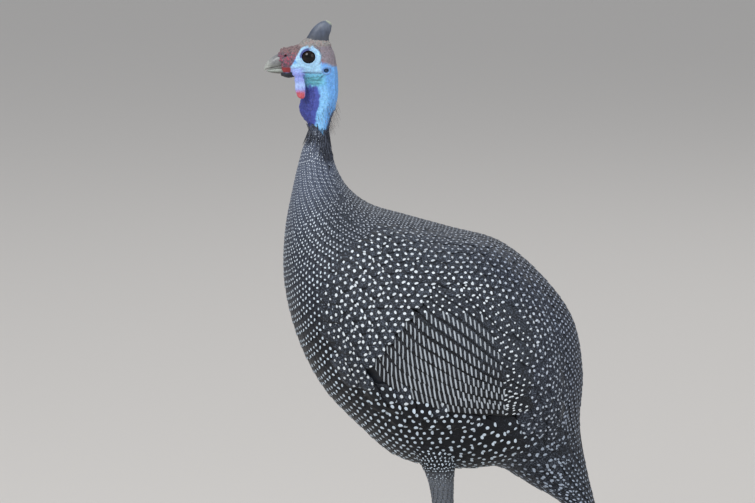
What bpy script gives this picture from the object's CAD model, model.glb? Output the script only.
import math
import bpy
import numpy as np
import openvdb
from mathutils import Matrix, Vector, noise


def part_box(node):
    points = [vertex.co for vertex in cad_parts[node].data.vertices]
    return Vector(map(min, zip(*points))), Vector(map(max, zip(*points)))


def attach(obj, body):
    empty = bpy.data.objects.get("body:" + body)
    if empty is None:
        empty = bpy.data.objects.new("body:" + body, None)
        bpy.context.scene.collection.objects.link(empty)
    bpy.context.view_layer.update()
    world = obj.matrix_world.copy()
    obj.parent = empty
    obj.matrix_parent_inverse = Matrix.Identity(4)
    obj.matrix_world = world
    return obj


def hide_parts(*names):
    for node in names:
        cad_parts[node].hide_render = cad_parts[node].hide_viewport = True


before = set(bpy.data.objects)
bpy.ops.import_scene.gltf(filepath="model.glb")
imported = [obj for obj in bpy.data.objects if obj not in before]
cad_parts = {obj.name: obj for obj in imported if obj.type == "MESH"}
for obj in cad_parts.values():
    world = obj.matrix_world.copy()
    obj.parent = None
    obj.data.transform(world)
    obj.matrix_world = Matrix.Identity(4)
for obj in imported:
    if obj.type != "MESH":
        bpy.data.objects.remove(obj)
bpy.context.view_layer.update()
print("frame loaded")

# The bird's outline in mm, as the solids have it: slices from the tip of the tail to the crown.
# Each is its back point x and z, its front point x and z, and half its width.
bodySlices = [
    (125, 53, 125, 53, 0), (128.5, 62, 116, 59.5, 19), (122.5, 88, 97, 89, 27), (115, 120, 67, 107, 33),
    (110, 153.5, 44, 120, 44), (112, 195, 21, 118.5, 58), (104, 237, -7, 120, 68),
    (80.5, 270.5, -37, 129, 74), (46.5, 298.5, -66, 153.5, 75), (6.5, 310, -93, 182.5, 72),
    (-28, 319.5, -112.5, 220.5, 65), (-56, 328, -123.5, 266, 53), (-73, 341, -123, 305.5, 38),
    (-82.5, 357.5, -117.5, 337, 23),
    (-87, 374, -109.5, 370, 12), (-88, 386.5, -103.5, 386.5, 8.2), (-83.5, 401.5, -110, 400.5, 9.2),
    (-81, 417, -108.5, 415.5, 10), (-82, 431.5, -106, 426.5, 11), (-94, 441, -94, 441, 0),
]
bodyEgg = 0.14  # how much wider the belly side is than the back
# The folded wing's outline: the body's station, then its upper and lower edge in degrees from the spine.
# A station is a slice's number, counted with decimals, and so is a ring's.
wingSlices = [
    (4.3, 60, 60), (4.9, 52, 78), (5.7, 43, 96), (6.5, 33, 113), (7.3, 24, 126), (8.2, 18, 134),
    (9, 20, 129), (9.7, 28, 118), (10.3, 40, 104), (10.8, 72, 72),
]
# The leg from the belly to the hock: rings as x, z, place sideways, half length and half width.
thighRings = [
    (-12, 172, 34, 0, 0), (-7, 150, 35, 27, 21), (-3, 130, 35.5, 15.5, 14.5), (-0.5, 115.5, 36, 10.6, 10),
    (1, 101, 36.2, 8.7, 8.2), (1.7, 89, 36.4, 7.6, 7), (2, 83.5, 36.4, 0, 0),
]
shankRings = [
    (2, 87, 36.4, 0, 0), (2, 82.5, 36.4, 6.2, 5.4), (1.8, 76, 36.4, 6.3, 5.6), (1.2, 67, 36.4, 4.6, 4),
    (0, 44, 36.6, 4, 3.3), (-1, 18, 36.8, 4.5, 3.9), (-2, 8, 37, 7.4, 6.6), (-2.3, 2, 37, 8.4, 8),
    (-2.3, -3, 37, 0, 0),
]
toes = {
    "middle": {"length": 40, "half": 3.1, "heading": 4, "claw": 11, "height": 2.5},
    "inner": {"length": 29, "half": 2.9, "heading": -40, "claw": 9.5, "height": 2.5},
    "outer": {"length": 30, "half": 2.9, "heading": 46, "claw": 9.5, "height": 2.5},
    "hind": {"length": 11, "half": 2.2, "heading": 195, "claw": 7, "height": 6},
}
footMiddle = (-2.3, 37)  # x and place sideways, where the toes meet
toeTipHeight = 2.5
sides = {"left": -1, "right": 1}
billTipX = -139.5
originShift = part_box("bill_upper")[0].x * 1000 - billTipX  # the frame's origin is under the middle of the box
rng = np.random.default_rng(7)


# Colours, materials and meshes
def linear(hexColour):
    values = [int(hexColour[i:i + 2], 16) / 255 for i in (1, 3, 5)]
    return np.array([v / 12.92 if v <= 0.04045 else ((v + 0.055) / 1.055) ** 2.4 for v in values])


def addNode(tree, kind, inputs={}, **settings):
    made = tree.nodes.new(kind)
    for name, value in settings.items():
        setattr(made, name, value)
    for name, value in inputs.items():
        if isinstance(value, bpy.types.NodeSocket):
            tree.links.new(value, made.inputs[name])
        else:
            made.inputs[name].default_value = value
    return made


def newMaterial(name, **sockets):
    # Returns a material with some sockets set, its node tree, its shader and the place on the object in m
    material = bpy.data.materials.new(name)
    material.use_nodes = True
    shader = material.node_tree.nodes["Principled BSDF"]
    for socket, value in sockets.items():
        shader.inputs[socket.replace("_", " ")].default_value = value
    place = addNode(material.node_tree, "ShaderNodeTexCoord").outputs["Object"]
    return material, material.node_tree, shader, place


def mottle(tree, shader, attribute, pattern, span, shades):
    # The colour painted on a piece, made darker and lighter by a pattern, as the shader's base colour
    tint = addNode(tree, "ShaderNodeAttribute", attribute_name=attribute)
    shade = addNode(tree, "ShaderNodeMapRange", {
        "Value": pattern, "From Min": span[0], "From Max": span[1], "To Min": shades[0], "To Max": shades[1],
    })
    colour = addNode(tree, "ShaderNodeVectorMath",
                     {0: tint.outputs["Color"], "Scale": shade.outputs["Result"]}, operation="SCALE")
    tree.links.new(colour.outputs[0], shader.inputs["Base Color"])


def addObject(name, data):
    made = bpy.data.objects.new(name, data)
    bpy.context.scene.collection.objects.link(made)
    return made


def newPiece(name, points, faces, material, smooth=True):
    # Points are in mm and faces are lists of indices or an array of them
    mesh = bpy.data.meshes.new(name)
    points = np.asarray(points, float) / 1000
    if isinstance(faces, np.ndarray):
        count, corners = faces.shape
        mesh.vertices.add(len(points))
        mesh.vertices.foreach_set("co", points.ravel())
        mesh.loops.add(count * corners)
        mesh.loops.foreach_set("vertex_index", faces.ravel())
        mesh.polygons.add(count)
        mesh.polygons.foreach_set("loop_start", np.arange(count) * corners)
        mesh.update(calc_edges=True)
    else:
        mesh.from_pydata(points.tolist(), [], faces)
    mesh.validate()
    mesh.polygons.foreach_set("use_smooth", np.full(len(mesh.polygons), smooth))
    mesh.materials.append(material)
    return addObject(name, mesh)


def paint(piece, name, values):
    # Stores a colour, or one number, for each point of a piece
    values = np.asarray(values, float)
    if values.ndim == 2:
        layer = piece.data.attributes.new(name, "FLOAT_COLOR", "POINT")
        full = np.concatenate([values, np.ones((len(values), 1))], 1)
        layer.data.foreach_set("color", full.ravel())
    else:
        layer = piece.data.attributes.new(name, "FLOAT", "POINT")
        layer.data.foreach_set("value", values)


def mapPiece(piece, name, places):
    # A UV map from one place for each point
    layer = piece.data.uv_layers.new(name=name)
    corner = np.zeros(len(piece.data.loops), int)
    piece.data.loops.foreach_get("vertex_index", corner)
    layer.uv.foreach_set("vector", np.asarray(places, float)[corner].ravel())


def settle(piece, slot, *replaced):
    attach(piece, "root")
    if replaced:
        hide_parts(*replaced)


def smoothStep(low, high, value):
    t = np.clip((np.asarray(value, float) - low) / (high - low), 0, 1)
    return t * t * (3 - 2 * t)


def between(value, start, full, fade, end):
    # Rises from start to full and falls from fade to end
    return smoothStep(start, full, value) * smoothStep(end, fade, value)


# Curves and surfaces
def catmullRom(points, places):
    # The same smooth curve through points as the solids have, read at places counted in points
    points = np.asarray(points, float)
    last = len(points) - 1
    places = np.clip(np.asarray(places, float), 0, last)
    at = np.minimum(places.astype(int), last - 1)
    w = (places - at)[:, None]
    ends = np.vstack([2 * points[0] - points[1], points, 2 * points[-1] - points[-2]])
    p0, p1, p2, p3 = ends[at], ends[at + 1], ends[at + 2], ends[at + 3]
    d0, d1, d2 = [np.linalg.norm(b - a, axis=1)[:, None] ** 0.5 for a, b in ((p0, p1), (p1, p2), (p2, p3))]
    first = ((p1 - p0) / d0 - (p2 - p0) / (d0 + d1) + (p2 - p1) / d1) * d1
    second = ((p2 - p1) / d1 - (p3 - p1) / (d1 + d2) + (p3 - p2) / d2) * d1
    squared = -3 * p1 + 3 * p2 - 2 * first - second
    cubed = 2 * p1 - 2 * p2 + first + second
    return p1 + first * w + squared * w ** 2 + cubed * w ** 3


def slicedSurface(slices, egg=0.0):
    # place(station, turn) on the slices, with turn counted in radians from the back
    stations = np.linspace(0, len(slices) - 1, 100 * (len(slices) - 1) + 1)
    back = catmullRom([(s[0], s[4], s[1]) for s in slices], stations)
    front = catmullRom([(s[2], s[4], s[3]) for s in slices], stations)

    def place(station, turn):
        station, turn = np.broadcast_arrays(station, turn)
        bx, half, bz = [np.interp(station, stations, back[:, k]) for k in range(3)]
        fx, fz = [np.interp(station, stations, front[:, k]) for k in (0, 2)]
        c = np.cos(turn)
        x = (bx + fx) / 2 + (bx - fx) / 2 * c + originShift
        y = np.maximum(half, 0) * np.sin(turn) * (1 - egg * c)
        return np.stack([x, y, (bz + fz) / 2 + (bz - fz) / 2 * c], -1)

    return place


def ringedSurface(rings, side):
    # place(ring, turn) on a limb's rings
    stations = np.linspace(0, len(rings) - 1, 100 * (len(rings) - 1) + 1)
    centre = catmullRom([(r[0], side * r[2], r[1]) for r in rings], stations)
    half = catmullRom([(r[3], r[4], r[1]) for r in rings], stations)

    def place(ring, turn):
        ring, turn = np.broadcast_arrays(ring, turn)
        x, y, z = [np.interp(ring, stations, centre[:, k]) for k in range(3)]
        a, b = [np.maximum(np.interp(ring, stations, half[:, k]), 0) for k in range(2)]
        return np.stack([x + a * np.cos(turn) + originShift, y + b * np.sin(turn), z], -1)

    return place


def surfaceFrame(place, u, v, flip=1):
    # Points on a surface, their normals and the mm in one unit of u and of v. A flip of -1 turns the normals.
    step = 2e-3
    point = place(u, v)
    alongU = (place(u + step, v) - place(u - step, v)) / (2 * step)
    alongV = (place(u, v + step) - place(u, v - step)) / (2 * step)
    normal = np.cross(alongU, alongV) * flip
    normal /= np.maximum(np.linalg.norm(normal, axis=-1, keepdims=True), 1e-9)
    return point, normal, np.linalg.norm(alongU, axis=-1), np.linalg.norm(alongV, axis=-1)


def netFaces(rows, columns, closed=True):
    # Quads of a net of points, row by row
    across = columns if closed else columns - 1
    row, column = np.meshgrid(np.arange(rows - 1), np.arange(across), indexing="ij")
    beside = (column + 1) % columns
    low, high = row * columns, (row + 1) * columns
    return np.stack([low + column, low + beside, high + beside, high + column], -1).reshape(-1, 4)


def netPoints(place, first, last, rows, columns):
    # Rings of points round a surface, from one station to another
    ring = np.linspace(first, last, rows)[:, None] + np.zeros(columns)
    turn = np.zeros((rows, 1)) + np.arange(columns) / columns * 2 * math.pi
    return place(ring, turn).reshape(-1, 3)


onBody = slicedSurface(bodySlices, bodyEgg)
wing = {"sunk": 2.25, "thick": 5.75}  # mm that its edges lie in the flank, and its thickness from there
wingFine = np.linspace(0, 1, 901)
wingLine = catmullRom([(w[0] * 10, w[1], w[2]) for w in wingSlices], wingFine * (len(wingSlices) - 1))


def wingEdges(station):
    # The folded wing's upper and lower edge at a body station, in degrees from the spine
    return [np.interp(station, wingLine[:, 0] / 10, wingLine[:, k]) for k in (1, 2)]


def wingRise(station, turn):
    # How far the folded wing stands out of the flank, in mm, as in the solids
    f = np.interp(station, wingLine[:, 0] / 10, wingFine)
    upper, lower = wingEdges(station)
    across = (np.degrees(np.abs(turn)) - (upper + lower) / 2) / np.maximum((lower - upper) / 2, 1)
    ended = np.clip(4 * f * (1 - f), 0, 1) ** 0.25
    return -wing["sunk"] + wing["thick"] * np.clip(1 - across ** 2, 0, 1) ** 0.3 * ended


def wingSurface(side):
    # place(a, b): a runs from the bend at the shoulder to the tip and b from the upper to the lower edge
    def place(a, b):
        station, upper, lower = [np.interp(1 - a, wingFine, wingLine[:, k]) for k in range(3)]
        turn = side * np.radians(upper + (lower - upper) * b)
        point, normal, _, _ = surfaceFrame(onBody, station / 10, turn, -1)
        rise = np.maximum(wingRise(station / 10, turn), 0) * smoothStep(0, 0.12, a)
        return point + normal * (rise + 0.5)[..., None]

    return place


# Camera, light and floor. The frame is in mm, its middle and the two datums in the photo's pixels,
# the elevation in degrees, the distance and the lamps' places in m, the powers in W.
view = {
    "frameWide": 594.0, "centreX": 377.5, "centreY": 251.5, "beakDatum": 441.0, "groundRow": 620.0,
    "mmPerPixel": 0.787, "elevation": 7.0, "distance": 6.0, "sensor": 36.0,
}
studio = {
    "paper": "#cfcbc6", "floorWide": 30000, "floorDeep": 60000, "sky": "#e6e9ee", "skyStrength": 0.62,
    "aim": (0, 0, 0.25),
    "lamps": {
        "keyLight": {"place": (-1.6, -2.2, 2.6), "size": 1.6, "power": 80},
        "fillLight": {"place": (2.4, -1.8, 1.2), "size": 2.2, "power": 20},
        "rimLight": {"place": (0.8, 2.2, 2.4), "size": 1.6, "power": 16},
    },
}


def stageScene():
    scene = bpy.context.scene
    target = Vector((
        ((view["centreX"] - view["beakDatum"]) * view["mmPerPixel"] + originShift) / 1000,
        0,
        (view["groundRow"] - view["centreY"]) * view["mmPerPixel"] / 1000,
    ))
    tilt = math.radians(view["elevation"])
    lens = bpy.data.cameras.new("camera")
    lens.sensor_width = view["sensor"]
    lens.lens = view["sensor"] * view["distance"] / (view["frameWide"] / 1000)
    lens.clip_end = 100
    camera = addObject("camera", lens)
    camera.location = target + view["distance"] * Vector((0, -math.cos(tilt), math.sin(tilt)))
    camera.rotation_euler = (math.pi / 2 - tilt, 0, 0)
    scene.camera = camera

    # A plain pale floor that runs out of sight behind the bird
    paper, _, shader, _ = newMaterial("paperSweep", Roughness=0.9)
    shader.inputs["Base Color"].default_value = (*linear(studio["paper"]), 1)
    wide, deep = studio["floorWide"], studio["floorDeep"]
    corners = [(-wide, -wide, 0), (wide, -wide, 0), (wide, deep, 0), (-wide, deep, 0)]
    floor = newPiece("floor", corners, np.array([[0, 1, 2, 3]]), paper)

    for name, lamp in studio["lamps"].items():
        light = bpy.data.lights.new(name, "AREA")
        light.size = lamp["size"]
        light.energy = lamp["power"]
        holder = addObject(name, light)
        holder.location = lamp["place"]
        toBird = Vector(studio["aim"]) - holder.location
        holder.rotation_euler = toBird.to_track_quat("-Z", "Y").to_euler()
    world = bpy.data.worlds.new("studio")
    world.use_nodes = True
    air = world.node_tree.nodes["Background"]
    air.inputs["Color"].default_value = (*linear(studio["sky"]), 1)
    air.inputs["Strength"].default_value = studio["skyStrength"]
    scene.world = world
    scene.view_settings.view_transform = "Standard"


stageScene()
print("camera, light and floor done")

# The coat's colours: the ground between the spots and the spots themselves, by where they are on the body
plumage = {
    "neck": {"ground": "#525a6c", "spot": "#cbd4df"},
    "breast": {"ground": "#262b36", "spot": "#cdd8e2"},
    "belly": {"ground": "#0a0e15", "spot": "#cfdeec"},
    "mantle": {"ground": "#2c3038", "spot": "#a9b0bb"},
    "rump": {"ground": "#191e2a", "spot": "#a6b0c2"},
    "wing": {"ground": "#1f232a", "spot": "#dbe3ea"},
    "tail": {"ground": "#11161f", "spot": "#a2aebf"},
    "bar": {"ground": "#121419", "spot": "#aab2ba"},
}
# Mm between spots down the belly side and down the back, as body stations and what holds there,
# and the spots' width over that spacing
spotSpacing = {
    "front": ([0, 3.5, 4.5, 5.5, 8, 9.2, 10.2, 11.2, 12, 13, 14, 15.5],
              [5.2, 5.6, 6.2, 6.7, 6.7, 6.2, 5.2, 4, 3.3, 2.5, 2.1, 2.0]),
    "back": ([0, 3.5, 5, 6.5, 7.5, 8.5, 10, 11.5, 12.5, 13.5, 15.5],
             [4.8, 4.6, 4.4, 4.6, 4.2, 3.2, 3, 3, 2.7, 2.3, 2.0]),
}
spotShare = {
    "front": ([0, 4, 5.5, 9, 10.5, 11.5, 12.5, 15.5], [0.42, 0.43, 0.45, 0.46, 0.45, 0.43, 0.46, 0.5]),
    "back": ([0, 4, 6, 8, 9, 12, 15.5], [0.42, 0.41, 0.41, 0.4, 0.4, 0.42, 0.48]),
}


def blendTone(weights, key):
    # A mix of the named colours, weighted for each feather
    total = sum(weights.values())
    return sum(linear(plumage[name][key]) * (w / total)[:, None] for name, w in weights.items())


def bodyTone(s, turn):
    # Weights of the coat's colours at a place on the body
    under = smoothStep(0.55, -0.25, np.cos(turn))
    neck = smoothStep(11.2, 13.2, s)
    tail = smoothStep(4.6, 3.6, s)
    front = smoothStep(9.2, 11.4, s)
    rump = smoothStep(8.2, 6.6, s)
    body = (1 - neck) * (1 - tail)
    return {
        "neck": neck,
        "tail": tail * (1 - neck),
        "breast": body * under * front,
        "belly": body * under * (1 - front),
        "mantle": body * (1 - under) * (1 - rump) + 1e-6,
        "rump": body * (1 - under) * rump,
    }


def frontToBack(lines, s, turn):
    # What two lines say at a station, blended round the body from the belly side to the back
    back = smoothStep(-0.1, 0.75, np.cos(turn))
    return np.interp(s, *lines["front"]) * (1 - back) + np.interp(s, *lines["back"]) * back


def bodySpacing(s, turn):
    return frontToBack(spotSpacing, s, turn)


# Feathers. A lay is a set of feathers on one surface: their paths over it and their sizes in mm.
# An outline is the width at the root, where it is full, where the tip starts, how round it is and its least.
outlines = {
    "short": {"root": 0.45, "full": 0.5, "tip": 0.58, "round": 2.3, "least": 0.004},
    "long": {"root": 0.35, "full": 0.25, "tip": 0.86, "round": 2.4, "least": 0.01},
}


def vaneOutline(t, long):
    # Half the feather's width at t from its root to its tip, over its widest
    shape = outlines["long" if long else "short"]
    width = shape["root"] + (1 - shape["root"]) * smoothStep(0, shape["full"], t)
    tip = np.clip((t - shape["tip"]) / (1 - shape["tip"]), 0, 1)
    return width * np.clip(1 - tip ** shape["round"], shape["least"], 1) ** 0.5


def pathAt(paths, i, t):
    # Feather i's path at t along it
    place = np.clip(t, 0, 1) * (paths.shape[1] - 1)
    low = np.minimum(place.astype(int), paths.shape[1] - 2)
    return paths[i, low] + (paths[i, low + 1] - paths[i, low]) * (place - low)


def onVane(lay, i, t, x, lift=0.0):
    # The point of feather i at t along it and x across it, in mm, and its outward normal
    u, v = pathAt(lay["u"], i, t), pathAt(lay["v"], i, t)
    low, high = np.clip(t - 0.02, 0, 1), np.clip(t + 0.02, 0, 1)
    du = pathAt(lay["u"], i, high) - pathAt(lay["u"], i, low)
    dv = pathAt(lay["v"], i, high) - pathAt(lay["v"], i, low)
    _, _, perU, perV = surfaceFrame(lay["place"], u, v)
    flowU, flowV = du * perU, dv * perV
    size = np.maximum(np.hypot(flowU, flowV), 1e-9)
    reach = x * lay["half"][i] * vaneOutline(t, lay["long"])
    u = u - flowV / size * reach / np.maximum(perU, 1e-3)
    v = v + flowU / size * reach / np.maximum(perV, 1e-3)
    point, normal, _, _ = surfaceFrame(lay["place"], u, v, lay["flip"])
    height = lay["root"][i] + (lay["tip"][i] - lay["root"][i]) * t ** 0.8
    height = height - lay["crown"][i] * x ** 2 + lay["tilt"][i] * x + lift
    return point + normal * height[..., None], normal


vaneMapSize = 20  # mm to one unit of the map that the barbs follow
patchWide = 0.003  # one feather's place on the map that is baked, where the whole map is 1 wide


def vaneParts(lay, along=9, across=7):
    # Closed thin feathers: a curved net above, a keel below and both ends shut
    count = len(lay["half"])
    i = np.arange(count)[:, None, None]
    t = np.linspace(0, 1, along)[None, :, None]
    t = 1 - (1 - t) ** 1.25 if not lay["long"] else t
    x = np.linspace(-1, 1, across)[None, None, :]
    i, t, x = np.broadcast_arrays(i, t, x)
    ragged = rng.normal(0, 1, t.shape) * (np.abs(x) > 0.99) * lay["ragged"]
    tipBow = 1 - 0.09 * lay["bow"] * x ** 2 * (t > 0.7)
    top, _ = onVane(lay, i, t * tipBow, x * (1 + ragged))
    keel, _ = onVane(lay, i[:, :, 0], t[:, :, 0] * 0.99, np.zeros((count, along)), -lay["thick"])
    points = np.concatenate([top.reshape(count, -1, 3), keel], 1)
    each = points.shape[1]
    quads = netFaces(along, across, closed=False)
    rows = np.arange(along - 1)
    keelAt = along * across + rows
    leftAt, rightAt = rows * across, rows * across + across - 1
    under = [
        np.stack([leftAt, leftAt + across, keelAt + 1, keelAt], 1),
        np.stack([rightAt + across, rightAt, keelAt, keelAt + 1], 1),
    ]
    cells = np.arange(across - 1)
    tail = (along - 1) * across
    rootCap = np.stack([cells, cells + 1, np.full(across - 1, along * across)], 1)
    tipCap = np.stack([tail + cells + 1, tail + cells, np.full(across - 1, along * across + along - 1)], 1)
    quads = np.concatenate([quads, *under])
    triangles = np.concatenate([rootCap, tipCap])
    if lay["flip"] > 0:
        quads, triangles = quads[:, ::-1], triangles[:, ::-1]
    offsets = (np.arange(count) * each)[:, None, None]
    flat = np.concatenate([x.reshape(count, -1), np.zeros((count, along))], 1)
    length = np.concatenate([t.reshape(count, -1), t[:, :, 0]], 1)
    vane = np.stack([(flat * lay["half"][:, None]).ravel(), (length * lay["length"][:, None]).ravel()], 1)
    return {
        "points": points.reshape(-1, 3),
        "quads": (quads[None] + offsets).reshape(-1, 4),
        "triangles": (triangles[None] + offsets).reshape(-1, 3),
        "tone": np.repeat(lay["tone"], each, 0),
        "grain": np.repeat(lay["grain"], each),
        "vane": vane / vaneMapSize,
        "patch": patchPlaces(lay, flat, length).reshape(-1, 2),
    }


def patchPlaces(lay, x, t):
    # A small patch at each feather's root on an unwrap of the body: round it by along it
    home = lay["home"][:, None, :]
    return home + patchWide * (np.stack([x / 2, t], -1) - (0, 0.5))


def unwrapBody(s, turn):
    # A place on the body, unrolled over the lower part of the baked map
    return np.stack([0.03 + 0.94 * (turn / (2 * math.pi) % 1), 0.02 + 0.7 * s / 15.6], -1)


def gatherPiece(name, parts, material, smooth=True):
    # One piece from the parts of several lays. A triangle's row ends in -1 until its length is read.
    points, faces, base = [], [], 0
    for part in parts:
        points.append(part["points"])
        if len(part["quads"]):
            faces.append(part["quads"] + base)
        if len(part["triangles"]):
            threes = part["triangles"] + base
            faces.append(np.concatenate([threes, np.full((len(threes), 1), -1)], 1))
        base += len(part["points"])
    points, faces = np.concatenate(points), np.concatenate(faces)
    mesh = bpy.data.meshes.new(name)
    corners = np.where(faces[:, 3] < 0, 3, 4)
    loops = faces.ravel()
    loops = loops[loops >= 0]
    mesh.vertices.add(len(points))
    mesh.vertices.foreach_set("co", (points / 1000).ravel())
    mesh.loops.add(len(loops))
    mesh.loops.foreach_set("vertex_index", loops)
    mesh.polygons.add(len(faces))
    mesh.polygons.foreach_set("loop_start", np.cumsum(corners) - corners)
    mesh.update(calc_edges=True)
    mesh.polygons.foreach_set("use_smooth", np.full(len(faces), smooth))
    mesh.materials.append(material)
    piece = addObject(name, mesh)
    mapPiece(piece, "OFBake", np.concatenate([part["patch"] for part in parts]))
    if "vane" in parts[0]:
        mapPiece(piece, "vane", np.concatenate([part["vane"] for part in parts]))
        paint(piece, "grain", np.concatenate([part["grain"] for part in parts]))
    paint(piece, "tone", np.concatenate([part["tone"] for part in parts]))
    print(name, int((corners - 2).sum()), "triangles")
    return piece


def spotParts(lay, i, t, x, longHalf, wideHalf, tone, sides=8, lean=0.0, lift=0.12, square=1.0):
    # Thin domed spots on feathers i, centred at t along and x across, with half sizes along and across.
    # Lean slants a bar back from the shaft, lift is its height, and a square below 1 gives it blunt ends.
    around = np.arange(sides) / sides * 2 * math.pi
    width = lay["half"][i] * vaneOutline(t, lay["long"])
    across, ahead = [np.sign(a) * np.abs(a) ** square for a in (np.sin(around), np.cos(around))]
    forward = ahead[None, :] * longHalf[:, None]
    sideways = across[None, :] * wideHalf[:, None]
    rimT = t[:, None] + (forward + lean * sideways) / lay["length"][i][:, None]
    rimX = x[:, None] + sideways / np.maximum(width, 0.5)[:, None]
    each = np.broadcast_to(i[:, None], rimT.shape)
    rim, _ = onVane(lay, each, np.clip(rimT, 0.02, 0.995), np.clip(rimX, -1.05, 1.05), lift * 0.5)
    top, normal = onVane(lay, i, np.clip(t, 0.02, 0.99), x, lift)
    dome = 0.03
    top = top + normal * dome
    low = top - normal * (lift + dome)
    points = np.concatenate([rim, top[:, None], low[:, None]], 1)
    ring = np.arange(sides)
    after = (ring + 1) % sides
    fan = np.stack([ring, after, np.full(sides, sides)], 1)
    back = np.stack([after, ring, np.full(sides, sides + 1)], 1)
    triangles = np.concatenate([fan, back])
    if lay["flip"] > 0:
        triangles = triangles[:, ::-1]
    offsets = (np.arange(len(i)) * (sides + 2))[:, None, None]
    centred = np.stack([np.sin(around), np.cos(around)], -1) / 2
    patch = np.concatenate([centred, np.zeros((2, 2))])[None] * patchWide
    return {
        "points": points.reshape(-1, 3),
        "quads": np.zeros((0, 4), int),
        "triangles": (triangles[None] + offsets).reshape(-1, 3),
        "tone": np.repeat(tone, sides + 2, 0),
        "patch": (lay["home"][i][:, None] + patch).reshape(-1, 2),
    }


featherLength, rowStep = 4.3, 1.74  # in spacings: a short feather's length, and from one row to the next


def lattice(place, spacing, first, last, reach, midline=0.0, mirrored=True):
    # Feather roots in offset rows over a surface. Rows run from u = first to last and columns spread from the
    # midline, two spots to a feather. Returns u and v of each feather's root, then of its tip.
    grid = np.linspace(0, reach, 240)
    us = np.linspace(min(first, last) - 3, max(first, last) + 0.5, 260)
    around = surfaceFrame(place, us[:, None], midline + grid[None, :])[3]
    density = around / (2 * spacing(us[:, None] + 0 * grid, midline + grid[None, :]))
    sums = np.cumsum((density[:, 1:] + density[:, :-1]) / 2, 1) * grid[1]
    sums = np.concatenate([np.zeros((len(us), 1)), sums], 1)

    def columnPlaces(u, column):
        # How far round each column lies at u, and how many columns fit in there
        at = np.clip((u - us[0]) / (us[1] - us[0]), 0, len(us) - 1.001)
        low = int(at)
        line = sums[low] * (1 - at + low) + sums[low + 1] * (at - low)
        return np.interp(column, line, grid, right=np.nan), line[-1]

    found, u, row = [], first, 0
    sign = 1 if last > first else -1
    while (last - u) * sign > 0:
        middle = np.array([midline + reach * 0.5])
        here = np.array([u])
        pitch = float(spacing(here, middle)[0])
        perU = float(surfaceFrame(place, here, middle)[2][0])
        length = featherLength * pitch
        tipU = u + sign * length / perU
        _, most = columnPlaces(u, np.zeros(1))
        columns = np.arange(0.5 * (row % 2), most, 1.0)
        if mirrored:
            columns = np.concatenate([-columns[columns > 0], columns])
        v, _ = columnPlaces(u, np.abs(columns))
        tipV, _ = columnPlaces(tipU, np.abs(columns))
        tipV = np.where(np.isnan(tipV), v, tipV)
        signs = np.where(columns < 0, -1, 1)
        keep = ~np.isnan(v)
        found.append(np.stack([np.full(keep.sum(), u), midline + (signs * v)[keep],
                               np.full(keep.sum(), tipU), midline + (signs * tipV)[keep]], 1))
        u += sign * rowStep * pitch / perU
        row += 1
    return np.concatenate(found)


def makeLay(place, roots, spacing, tones, grain, flip, home, depth=1.0, jitter=0.05):
    # Short feathers at a lattice's roots. Their heights are for spots 6 mm apart, and shrink with these.
    u0, v0, u1, v1 = roots.T
    pitch = spacing(u0, v0)
    count = len(u0)
    wobble = rng.normal(0, jitter, (4, count)) * pitch
    _, _, perU, perV = surfaceFrame(place, u0, v0)
    u0, u1 = u0 + wobble[0] / perU, u1 + wobble[1] / perU
    v0, v1 = v0 + wobble[2] / perV * 0.6, v1 + wobble[3] / perV
    steps = np.linspace(0, 1, 4)[None, :]
    length = np.hypot((u1 - u0) * perU, (v1 - v0) * perV)
    k = pitch / 6
    return {
        "place": place, "long": False, "flip": flip, "bow": 1.0, "ragged": 0.07, "thick": 0.09,
        "u": u0[:, None] + (u1 - u0)[:, None] * steps,
        "v": v0[:, None] + (v1 - v0)[:, None] * steps,
        "length": length, "half": 1.32 * pitch * (1 + rng.normal(0, 0.03, count)),
        "root": -(0.3 + 1.4 * k) * depth, "tip": rng.normal(0, 0.05, count) * k,
        "crown": 0.28 * k, "tilt": (0.13 + rng.normal(0, 0.03, count)) * k,
        "tone": tones * (1 + rng.normal(0, 0.05, count))[:, None],
        "grain": grain, "home": home, "pitch": pitch,
    }


# Places of a feather's spots in spacings, back from its tip and across from its shaft
spotNet = [(0.42, -0.5), (0.42, 0.5), (1.29, 0.0), (1.29, 1.0)]
furtherNet = [(2.16, -0.5), (2.16, 0.5), (3.03, 0.0), (3.03, 1.0)]


def quincunx(lay, share, tone, aspect=1.0, sides=8, bare=None):
    # Two spots by each feather's tip and two behind them, which makes one even net over the coat.
    # Bare feathers, which no other row covers, have further spots towards the root.
    count = len(lay["half"])
    i = np.arange(count)
    pitch = lay["pitch"]
    parts = []
    for back, across in spotNet + (furtherNet if bare is not None else []):
        t = 1 - back * pitch / lay["length"]
        width = lay["half"] * vaneOutline(t, lay["long"])
        x = across * pitch / width
        radius = share * pitch / 2 * (1 + rng.normal(0, 0.09, count))
        nudge = rng.normal(0, 0.045, (2, count))
        t = t + nudge[0] * pitch / lay["length"]
        x = x + nudge[1] * pitch / width
        keep = np.abs(x) < 0.93
        if (back, across) in furtherNet:
            keep &= bare
        shade = np.clip(tone * (1 + rng.normal(0, 0.07, count))[:, None], 0, 1)
        parts.append(spotParts(lay, i[keep], t[keep], x[keep], (radius * aspect)[keep], radius[keep],
                               shade[keep], sides))
    return parts


def inWing(s, turn, inset):
    # True where a place on the body lies under the folded wing, by more than the inset in degrees
    upper, lower = wingEdges(s)
    degrees = np.degrees(np.abs(turn))
    inside = (s > 4.7) & (s < 10.6)
    return inside & (degrees > upper + inset) & (degrees < lower - inset)


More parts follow.
